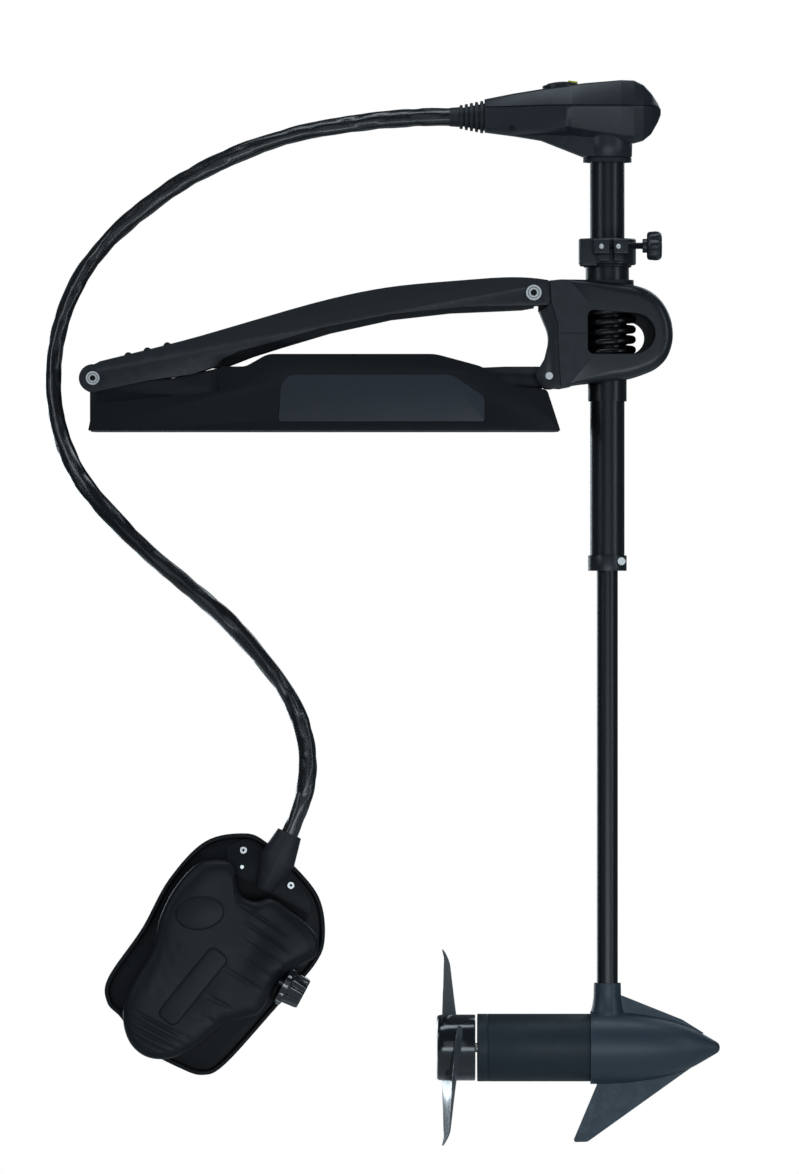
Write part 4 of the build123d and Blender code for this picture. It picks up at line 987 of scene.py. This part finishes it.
class TROLLING_OT_head(bpy.types.Operator):
    """Control head, its dial and the cord's bellows"""

    bl_idname = "trolling.head"
    bl_label = "Control head"

    def execute(self, context):
        upper = soften(head_half(True), 2.6, 4, 8.0)
        finish_piece("head_upper", upper, "head_upper_shell", "head", 50.0, True)
        lower = soften(head_half(False), 2.4, 4, 8.0, 2.0 * MM)
        add_head_neck(lower)
        finish_piece("head_lower", lower, "head_lower_shell", "head", 50.0, True)
        self.dial()
        # a near-black plug painted as the shade in the shell screw's recess
        low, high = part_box("column_screws")
        bm = bmesh.new()
        recess_shade_profile = [(0, 0), (0, 3.4), (3.6, 3.4), (3.6, 0)]
        place = (low[0] + 3 * MM, low[1] - 0.4 * MM, high[2] - 3 * MM)
        turned_piece(bm, recess_shade_profile, place, (0, 1, 0), 24)
        finish_piece("shell_screw_cap", bm, "column_screws", "gap")
        dress("cord_boot", "rubber")
        return {"FINISHED"}

    def dial(self):
        """The round direction dial: a collar round a domed cap, leaning with the head's top."""
        centre = middle("direction_indicator")
        origin = (centre.x, 0.0, HEAD_SEAM_Z)
        lean = (-0.07, 0.0, 1.0)
        bm = bmesh.new()
        turned_piece(bm, DIAL_PROFILE, origin, lean)
        finish_piece("dial_cap", bm, "direction_indicator", "housing", 40.0, True)
        bm = bmesh.new()
        bmesh.ops.create_cube(bm, size=1.0)
        bmesh.ops.scale(bm, verts=bm.verts, vec=(13 * MM, 6 * MM, 3.2 * MM))
        soften(bm, 0.8, 2)
        bmesh.ops.rotate(bm, verts=bm.verts, cent=(0, 0, 0), matrix=Matrix.Rotation(0.12, 3, "Y"))
        bmesh.ops.translate(bm, verts=bm.verts, vec=(centre.x + 15 * MM, 0, HEAD_SEAM_Z + 33.2 * MM))
        finish_piece("dial_pointer", bm, "indicator_pointer", "pointer", replaces=True)


# ---------------------------------------------------------------- cord
CORD_ROUTE = [
    (169.3, 0.0, 427.7), (112.0, 0.0, 427.7), (52.0, 1.0, 421.0), (-5.0, 1.0, 413.0),
    (-62.0, 0.0, 399.0), (-127.0, 0.0, 375.0), (-193.0, 0.0, 342.0), (-248.0, -1.0, 303.0),
    (-295.0, -3.0, 261.0), (-331.0, -7.0, 215.0), (-357.0, -13.0, 158.0), (-369.0, -24.0, 98.0),
    (-368.0, -41.0, 40.0), (-356.0, -63.0, -12.0), (-335.0, -91.0, -60.0), (-290.0, -108.0, -115.0),
    (-238.0, -114.0, -166.0), (-182.0, -116.5, -212.0), (-131.0, -117.0, -255.0),
    (-91.0, -116.5, -300.0), (-57.0, -116.0, -342.0), (-34.0, -116.0, -385.0),
    (-23.0, -116.0, -428.0), (-22.0, -116.0, -470.0), (-31.0, -116.0, -509.0),
    (-47.0, -116.0, -544.0),
]


def cord_centreline():
    """Points along the smooth curve of the cord's route."""
    curve = bpy.data.curves.new("cord_route", "CURVE")
    curve.dimensions = "3D"
    curve.resolution_u = 14
    spline = curve.splines.new("NURBS")
    spline.points.add(len(CORD_ROUTE) - 1)
    for point, place in zip(spline.points, CORD_ROUTE):
        point.co = (*[c * MM for c in place], 1.0)
    spline.order_u = 3
    spline.use_endpoint_u = True
    holder = bpy.data.objects.new("cord_route", curve)
    bpy.context.scene.collection.objects.link(holder)
    bpy.context.view_layer.update()
    line = bpy.data.meshes.new_from_object(holder)
    points = [v.co.copy() for v in line.vertices]
    bpy.data.meshes.remove(line)
    bpy.data.objects.remove(holder)
    return points


class TROLLING_OT_cord(bpy.types.Operator):
    """The creased, glossy cord between the head and the pedal"""

    bl_idname = "trolling.cord"
    bl_label = "Cord"

    def execute(self, context):
        _, shapes = settings()
        points = cord_centreline()
        radius = shapes.cord_diameter / 2
        sides = 28
        bm = bmesh.new()
        layer = bm.loops.layers.uv.new("along")
        ring = None
        travelled = 0.0
        side = Vector((0, 1, 0))
        before = 0.0
        for k, point in enumerate(points):
            ahead = points[min(k + 1, len(points) - 1)] - points[max(k - 1, 0)]
            along = ahead.normalized()
            side = (side - along * side.dot(along)).normalized()
            up = along.cross(side)
            if k:
                travelled += (point - points[k - 1]).length
            verts = []
            for j in range(sides):
                angle = 2 * math.pi * j / sides
                out = side * math.cos(angle) + up * math.sin(angle)
                reach = self.sheath_radius(radius, shapes.crease_depth, travelled, angle)
                verts.append(bm.verts.new(point + out * reach))
            if ring:
                for j in range(sides):
                    n = (j + 1) % sides
                    face = bm.faces.new((ring[j], ring[n], verts[n], verts[j]))
                    face.smooth = True
                    spots = ((j, before), (j + 1, before), (j + 1, travelled), (j, travelled))
                    for loop, (turn, length) in zip(face.loops, spots):
                        loop[layer].uv = (turn / sides, length)
            else:
                bm.faces.new(list(reversed(verts)))
            ring = verts
            before = travelled
        bm.faces.new(ring)
        bmesh.ops.recalc_face_normals(bm, faces=bm.faces)
        piece = finish_piece("cord_sheath", bm, "control_cord", "sheath", 60.0, True)
        return {"FINISHED"}

    def sheath_radius(self, radius, depth, travelled, angle):
        """Radius of the loose sleeve: pinched here and there, with long folds round it."""
        spot = Vector((math.cos(angle) * 0.9, math.sin(angle) * 0.9, travelled * 22.0))
        fold = abs(noise.noise(spot)) * 2.0
        slow = noise.noise(Vector((3.1, 7.7, travelled * 11.0)))
        lean = math.cos(2.0 * angle + 9.0 * noise.noise(Vector((0.3, 5.0, travelled * 4.0))))
        fade = min(1.0, travelled / 0.02)
        pinched = radius * (0.99 + fade * (0.05 * slow + 0.05 * lean))
        return pinched - fade * depth * (0.9 - min(fold, 0.9))


# ---------------------------------------------------------------- pedal
PEDAL_ORIGIN = Vector((-137.4, -92.0, -702.4)) * MM
PEDAL_LEAN = math.radians(28.0)
PEDAL_ACROSS = Vector((math.cos(PEDAL_LEAN), 0.0, -math.sin(PEDAL_LEAN)))
PEDAL_ALONG = Vector((math.sin(PEDAL_LEAN), 0.0, math.cos(PEDAL_LEAN)))
TREADLE_OUTLINE = [
    (-57, 109), (-84, 90), (-96, 50), (-96, 5), (-85, -45), (-87, -105), (-76, -142),
    (-52, -167), (-22, -173), (8, -158), (32, -124), (46, -88), (68, -66), (82, -51), (85, -28),
    (87, 2), (102, 32), (114, 54), (107, 74), (84, 86),
    (50, 92), (24, 94), (6, 80), (-14, 80), (-30, 96), (-36, 107),
]
PEDAL_OUTLINE = [
    (-46, 153), (-89, 118), (-108, 50), (-109, -25), (-118, -105), (-104, -134), (-79, -143),
    (-52, -158), (-25, -166), (20, -166), (54, -160), (74, -132), (99, -32), (117, 40), (112, 80),
    (79, 124), (21, 148), (-14, 155),
]


def pedal_place(across, along, height):
    """A point of the pedal's own plane, millimetres, in the shared frame."""
    place = PEDAL_ORIGIN + (PEDAL_ACROSS * across + PEDAL_ALONG * along) * MM
    return place + Vector((0.0, -height * MM, 0.0))


def smooth_outline(corners, steps):
    """A closed Catmull-Rom curve through the corners."""
    count = len(corners)
    points = []
    for k in range(count):
        a, b, c, d = (Vector(corners[(k + m - 1) % count]) for m in range(4))
        for n in range(steps):
            points.append(catmull(a, b, c, d, n / steps))
    return points


def stacked(bm, outline, levels):
    """Rings of an outline of the pedal's plane at (inset, height) levels."""
    rings = []
    for inset, height in levels:
        moved = inset_outline(outline, inset)
        rings.append([bm.verts.new(pedal_place(q.x, q.y, height)) for q in moved])
    return rings


def swung(points, degrees, centre):
    """Points turned in the pedal's plane and moved to a centre."""
    turn = Matrix.Rotation(math.radians(degrees), 2)
    return [Vector(centre) + turn @ q for q in points]


def bump_at(x, centre, half):
    """A smooth hill, one at its centre and none beyond its half width."""
    t = min(1.0, abs(x - centre) / half)
    return (1 - t * t) ** 2


TREAD_GROOVES = [
    # along, from across, to across, lean
    (64, -4, 66, -0.10), (46, 6, 84, -0.10), (24, 10, 96, -0.10), (2, 14, 84, -0.08), (20, -92, -62, 0.0),
    (-20, 12, 74, -0.06), (-24, -82, -44, 0.0), (-44, -82, -44, 0.0), (-62, 12, 44, 0.0),
    (-70, -84, -44, 0.0), (-90, -84, -44, 0.0), (-90, 12, 38, 0.0), (-126, -76, 26, 0.0),
    (-136, -74, 20, 0.0), (-146, -68, 10, 0.0), (-156, -58, 0, 0.0),
]


def tread_height(u, v):
    """Relief of the foot plate: a raised lobe beside the button, a hollow for the foot, ribs."""
    rise = 5.0 * bump_at(u, 76, 46) * bump_at(v, 26, 74)
    rise -= 2.2 * bump_at(u, -16, 44) * bump_at(v, -66, 70)
    rise += 1.6 * bump_at(u, -66, 26) * bump_at(v, 74, 44)
    for along, left, right, lean in TREAD_GROOVES:
        if left - 4 < u < right + 4:
            middle_u = (left + right) / 2
            ends = bump_at(u, middle_u, (right - left) / 2 + 4) ** 0.35
            rise -= 1.5 * ends * bump_at(v, along + lean * (u - middle_u), 3.4)
    return rise


RIM_LEVELS = [
    # inset, height
    (3, 0.2), (0, 1.2), (-1.5, 5), (-1.5, 11.5), (-0.6, 13.9), (1.5, 14.9), (4, 14.1), (5, 12), (6, 8.3),
    (6, 0.2),
]
TREADLE_LEVELS = [
    (9.0, 48.5), (8.0, 39.4), (5.0, 39), (1.6, 39.6), (0, 42), (0, 46), (1.0, 49.5), (3.2, 52.4),
    (6.5, 54.4),
]
TREADLE_SPINE = Vector((-34, -118)), Vector((4, 34))
TREADLE_STEPS = 34
PAD_ROUND = (8.0, 8.0)
PAD_CENTRE, PAD_TURN = (-12.6, -59.5), -11
BUTTON_CENTRE, BUTTON_HALF, BUTTON_TURN = (-51, 32), (33.2, 23.2), 35
GROOVE_LEVELS = [(0, 50), (0, 57.3), (0.3, 57.6)]
PAD_LEVELS = [(0, 50), (0, 57.7), (0.8, 58.4), (2.0, 58.6)]
BUTTON_LEVELS = [(0, 50), (0, 57.8), (0.3, 58.1)]
DIAL_SKIRT = [
    # distance from the dial's inner face, radius
    (0, 4), (0, 27.5), (1.2, 28.8), (8.5, 28.8), (10, 27.5), (10.5, 24), (12, 23.2), (30, 21.5),
    (32, 19.5), (32, 0),
]
FLUTES = 9
FIGURE_STEP = 27
FIGURE_AT_FRONT = 7


class TROLLING_OT_pedal(bpy.types.Operator):
    """Foot pedal: base, treadle, button and speed dial"""

    bl_idname = "trolling.pedal"
    bl_label = "Foot pedal"

    def execute(self, context):
        softened_node("pedal_base", 1.0, "pedal", 2)
        self.rim()
        self.treadle()
        self.insert()
        softened_node("momentary_button", 1.5, "tread", 3)
        softened_node("pedal_boot", 1.0, "rubber", 2)
        self.knob()
        return {"FINISHED"}

    def rim(self):
        """The turned-up rim of the base."""
        bm = bmesh.new()
        outline = smooth_outline(PEDAL_OUTLINE, 8)
        join_rings(bm, stacked(bm, outline, RIM_LEVELS), False)
        finish_piece("pedal_rim", bm, "pedal_base", "pedal", 60.0)

    def treadle(self):
        """The foot plate: rolled edge, crowned top with its relief, hollow left below."""
        bm = bmesh.new()
        outline = smooth_outline(TREADLE_OUTLINE, 10)
        rings = stacked(bm, outline, TREADLE_LEVELS)
        inset, brink = TREADLE_LEVELS[-1]
        low, high = TREADLE_SPINE
        spine = high - low
        for step in range(1, TREADLE_STEPS + 1):
            t = step / TREADLE_STEPS
            ring = []
            for q in inset_outline(outline, inset):
                share = min(1.0, max(0.0, (q - low).dot(spine) / spine.length_squared))
                spot = q.lerp(low + spine * share, t * 0.985)
                depth = (spot - q).length
                height = brink + 2.9 * (1 - math.exp(-depth / 7.0))
                height += tread_height(spot.x, spot.y) * min(1.0, depth / 6.0)
                ring.append(bm.verts.new(pedal_place(spot.x, spot.y, height)))
            rings.append(ring)
        join_rings(bm, rings)
        bmesh.ops.remove_doubles(bm, verts=bm.verts, dist=0.02 * MM)
        bmesh.ops.recalc_face_normals(bm, faces=bm.faces)
        finish_piece("treadle_skin", bm, "treadle", "tread", 60.0, True)

    def insert(self):
        """The long pad let into the foot plate, and near-black rings round the pad and the button painted
        as the shade in their grooves.
        """
        corners = ((6.5, 51, 0), (-6.5, 51, 90), (-6.5, -51, 180), (6.5, -51, 270))
        pad = []
        for x, y, start in corners:
            pad += arc((x, y), PAD_ROUND, start, start + 90, 6)
        pad = swung(pad, PAD_TURN, PAD_CENTRE)
        button = swung(arc((0, 0), BUTTON_HALF, 0, 360, 32)[:-1], BUTTON_TURN, BUTTON_CENTRE)
        # the grooves are painted shade: near-black rings in the gap finish
        for name, node, finish, crease, outline, levels in (
            ("insert_groove", "tread_insert", "gap", 50.0, inset_outline(pad, -1.1), GROOVE_LEVELS),
            ("insert_pad", "tread_insert", "tread", 50.0, inset_outline(pad, 0.0), PAD_LEVELS),
            ("button_groove", "treadle", "gap", 35.0, button, BUTTON_LEVELS),
        ):
            bm = bmesh.new()
            join_rings(bm, stacked(bm, outline, levels))
            finish_piece(name, bm, node, finish, crease, name == "insert_pad")

    def knob(self):
        """The speed dial: a smooth skirt, a fluted grip and pale figures."""
        bm = bmesh.new()
        origin = pedal_place(92.0, 0.0, 31.0)
        turned_piece(bm, DIAL_SKIRT, origin, PEDAL_ACROSS, 96)
        for vert in bm.verts:
            away = vert.co - origin
            depth = away.dot(PEDAL_ACROSS) / MM
            radial = away - PEDAL_ACROSS * away.dot(PEDAL_ACROSS)
            if depth > 11 and radial.length > 12 * MM:
                angle = math.atan2(radial.y, radial.dot(PEDAL_ALONG))
                flute = (0.5 + 0.5 * math.cos(FLUTES * angle)) ** 3
                vert.co -= radial.normalized() * 2.6 * MM * flute
        stem = [(-13, 0), (-13, 3.9), (1, 3.9)]
        turned_piece(bm, stem, origin, PEDAL_ACROSS)
        finish_piece("speed_dial", bm, "speed_knob", "gloss", 40.0, True)
        self.figures(origin)

    def figures(self, origin):
        """Figures and ticks round the dial's skirt."""
        bm = bmesh.new()
        for number in range(11):
            angle = math.radians(-90 + FIGURE_STEP * (number - FIGURE_AT_FRONT))
            out = Vector((0, 1, 0)) * math.sin(angle) + PEDAL_ALONG * math.cos(angle)
            around = PEDAL_ACROSS.cross(out)
            centre = origin + out * 28.9 * MM + PEDAL_ACROSS * 5.2 * MM
            text = bpy.data.curves.new("figure", "FONT")
            text.body = str(number)
            text.size = 7.5 * MM
            text.align_x = "CENTER"
            text.align_y = "CENTER"
            holder = bpy.data.objects.new("figure", text)
            bpy.context.scene.collection.objects.link(holder)
            bpy.context.view_layer.update()
            flat = bpy.data.meshes.new_from_object(holder)
            turn = Matrix((around, PEDAL_ACROSS * -1, out)).transposed().to_4x4()
            flat.transform(Matrix.Translation(centre) @ turn)
            bm.from_mesh(flat)
            bpy.data.objects.remove(holder)
            bpy.data.meshes.remove(flat)
        finish_piece("dial_figures", bm, "speed_knob", "digits")


# ---------------------------------------------------------------- lower unit and propeller
HUB_SHELL_PROFILE = [
    # distance from the hub's rear, radius
    (14, 24), (0, 24), (0, 41.5), (1.2, 43.6), (4, 44.6), (12, 45), (50.5, 45), (52, 44.2), (52, 38),
    (22, 38), (22, 24), (14, 24),
]
HUB_CORE_PROFILE = [(14, 6.5), (14, 25), (46, 25), (46, 6.5), (14, 6.5)]
PROP_RADIUS = 45.0
BLADE_ROWS, BLADE_COLUMNS = 44, 18
BLADE_START, BLADE_SWEEP = -118, 160
CURL_FROM, CURL_RUN = 122.0, 12.0
BLADE_REACH = [
    # share of the root, reach over the hub
    (0.0, 4), (0.05, 40), (0.12, 76), (0.2, 88), (0.3, 89), (0.38, 84), (0.48, 58), (0.62, 30), (0.8, 14),
    (1.0, 2),
]


class TROLLING_OT_lower_unit(bpy.types.Operator):
    """Motor housing, nose and propeller"""

    bl_idname = "trolling.lower_unit"
    bl_label = "Lower unit"

    def execute(self, context):
        softened_node("nose_housing", 1.5, "nose", 3)
        softened_node("motor_can", 0.6, "can", 2)
        softened_node("rear_cap", 1.0, "can", 2)
        self.propeller()
        return {"FINISHED"}

    def propeller(self):
        """Hub shell with two thin blades, each with a long root that wraps up the hub."""
        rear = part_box("propeller")[0][0]
        bm = bmesh.new()
        turned_piece(bm, HUB_SHELL_PROFILE, (rear, 0, MOTOR_Z), (1, 0, 0), 72)
        turned_piece(bm, HUB_CORE_PROFILE, (rear, 0, MOTOR_Z), (1, 0, 0))
        finish_piece("propeller_hub", bm, "propeller", "gloss", 38.0, True)
        bm = bmesh.new()
        for half_turn in (0.0, math.pi):
            self.blade(bm, rear, half_turn)
        finish_piece("propeller_blades", bm, "propeller", "blade", 38.0)

    def blade(self, bm, rear, half_turn):
        """A thin warped plate from the hub to its tip, given as angle and reach round the hub."""
        front = []
        back = []
        for k in range(BLADE_ROWS + 1):
            share = k / BLADE_ROWS
            angle = math.radians(BLADE_START + BLADE_SWEEP * share)
            reach = self.reach(share)
            full = 0.35 + 0.65 * math.sin(math.pi * min(1.0, max(0.04, share)))
            front.append([])
            back.append([])
            for m in range(BLADE_COLUMNS + 1):
                t = m / BLADE_COLUMNS
                r = (PROP_RADIUS - 1.5) * (1 - t) + (PROP_RADIUS + reach) * t
                lean = angle - math.radians(8) * t * min(1.0, reach / 60)
                x = 7.0 + 50.0 * min(share, 0.38) + 18.0 * max(0.0, share - 0.38)
                x -= 9.0 * t * min(1.0, share / 0.3)
                x -= 4.5 * max(0.0, (r - CURL_FROM) / CURL_RUN) ** 2
                thick = (2.4 - 1.3 * t) * full / 2
                y = -math.cos(lean + half_turn) * r * MM
                z = math.sin(lean + half_turn) * r * MM
                for face, at in ((front, x + thick), (back, x - thick)):
                    face[-1].append(bm.verts.new((rear + at * MM, y, MOTOR_Z + z)))
        faces = []
        for k in range(BLADE_ROWS):
            for m in range(BLADE_COLUMNS):
                a, b, c, d = (k, m), (k + 1, m), (k + 1, m + 1), (k, m + 1)
                faces.append(bm.faces.new([front[i][j] for i, j in (a, b, c, d)]))
                faces.append(bm.faces.new([back[i][j] for i, j in (a, d, c, b)]))
        brink = [(k, 0) for k in range(BLADE_ROWS)] + [(BLADE_ROWS, m) for m in range(BLADE_COLUMNS)]
        brink += [(k, BLADE_COLUMNS) for k in range(BLADE_ROWS, 0, -1)]
        brink += [(0, m) for m in range(BLADE_COLUMNS, 0, -1)]
        for (i, j), (p, q) in zip(brink, brink[1:] + brink[:1]):
            faces.append(bm.faces.new((front[p][q], front[i][j], back[i][j], back[p][q])))
        bmesh.ops.recalc_face_normals(bm, faces=faces)

    def reach(self, share):
        """How far the blade stands over the hub along its root: full behind, low at its long root."""
        for (a, low), (b, high) in zip(BLADE_REACH, BLADE_REACH[1:]):
            if share <= b:
                t = (share - a) / (b - a)
                return low + (high - low) * t * t * (3 - 2 * t)
        return 0.0


# ---------------------------------------------------------------- fasteners and inner works
class TROLLING_OT_works(bpy.types.Operator):
    """Materials of the fasteners and of the works inside"""

    bl_idname = "trolling.works"
    bl_label = "Fasteners and works"

    finishes = {
        "steel": ("cover_screws", "stern_bolt", "hub_screws", "bow_bolt", "link_pin", "link_tail_pin",
                  "column_screws", "pedal_screws", "treadle_pin", "through_bolts", "prop_fasteners",
                  "prop_shaft"),
        "natural": ("arm_bushes", "column_bushes", "steering_drum"),
        "housing": ("spring_seats",),
        "board": ("control_board", "speed_potentiometer", "button_switch"),
        "rubber": ("indicator_belt", "shaft_seal"),
        "sheath": ("motor_leads",),
        "iron": ("motor_internals", "armature"),
        "bronze": ("motor_bearings",),
    }

    # near-black discs painted as the shade inside each bolt head's hex socket and in a ring round it
    sockets = (
        # piece, node, x and z where the node holds several screws, head radius
        ("stern_socket", "stern_bolt", -315.0, 72.0, 9.2),
        ("bow_socket", "bow_bolt", None, None, 10.5),
        ("pedal_socket_a", "pedal_screws", -109.4, -566.7, 4.5),
        ("pedal_socket_b", "pedal_screws", -45.3, -614.3, 4.5),
    )

    def execute(self, context):
        for finish, nodes in self.finishes.items():
            for node in nodes:
                dress(node, finish)
        for name, node, x, z, radius in self.sockets:
            low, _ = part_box(node)
            spot = middle(node)
            across = spot.x if x is None else x * MM
            origin = Vector((across, low[1] - 0.15 * MM, spot.z if z is None else z * MM))
            bm = bmesh.new()
            hexagon = [(0, 0), (0, radius * 0.46), (0.6, radius * 0.46), (0.6, 0)]
            turned_piece(bm, hexagon, origin, (0, 1, 0), 6)
            inner, outer = radius * 0.66, radius * 0.74
            groove = [(0, inner), (0, outer), (0.6, outer), (0.6, inner), (0, inner)]
            turned_piece(bm, groove, origin, (0, 1, 0), 40)
            finish_piece(name, bm, node, "gap")
        return {"FINISHED"}


class TROLLING_PT_panel(bpy.types.Panel):
    """Lists the steps that dress the motor"""

    bl_idname = "TROLLING_PT_panel"
    bl_label = "Trolling Motor"
    bl_space_type = "VIEW_3D"
    bl_region_type = "UI"
    bl_category = "Trolling Motor"

    def draw(self, context):
        scene = context.scene
        for group in (scene.trolling_finishes, scene.trolling_shapes, scene.trolling_stage):
            for prop in group.bl_rna.properties:
                if prop.identifier not in {"rna_type", "name"}:
                    self.layout.prop(group, prop.identifier)
        for step in STEPS:
            self.layout.operator(step.bl_idname)


STEPS = (
    TROLLING_OT_stage, TROLLING_OT_cord, TROLLING_OT_mount, TROLLING_OT_arms, TROLLING_OT_column,
    TROLLING_OT_head, TROLLING_OT_pedal, TROLLING_OT_lower_unit, TROLLING_OT_works,
)
CLASSES = (TrollingFinishes, TrollingShapes, TrollingStage, *STEPS, TROLLING_PT_panel)


def register():
    for cls in CLASSES:
        bpy.utils.register_class(cls)
    bpy.types.Scene.trolling_finishes = bpy.props.PointerProperty(type=TrollingFinishes)
    bpy.types.Scene.trolling_shapes = bpy.props.PointerProperty(type=TrollingShapes)
    bpy.types.Scene.trolling_stage = bpy.props.PointerProperty(type=TrollingStage)


def unregister():
    del bpy.types.Scene.trolling_finishes
    del bpy.types.Scene.trolling_shapes
    del bpy.types.Scene.trolling_stage
    for cls in reversed(CLASSES):
        bpy.utils.unregister_class(cls)


def main():
    """Dresses the whole motor."""
    register()
    bpy.ops.trolling.stage()
    bpy.ops.trolling.cord()
    bpy.ops.trolling.mount()
    bpy.ops.trolling.arms()
    bpy.ops.trolling.column()
    bpy.ops.trolling.head()
    bpy.ops.trolling.pedal()
    bpy.ops.trolling.lower_unit()
    bpy.ops.trolling.works()


if __name__ == "__main__":
    main()
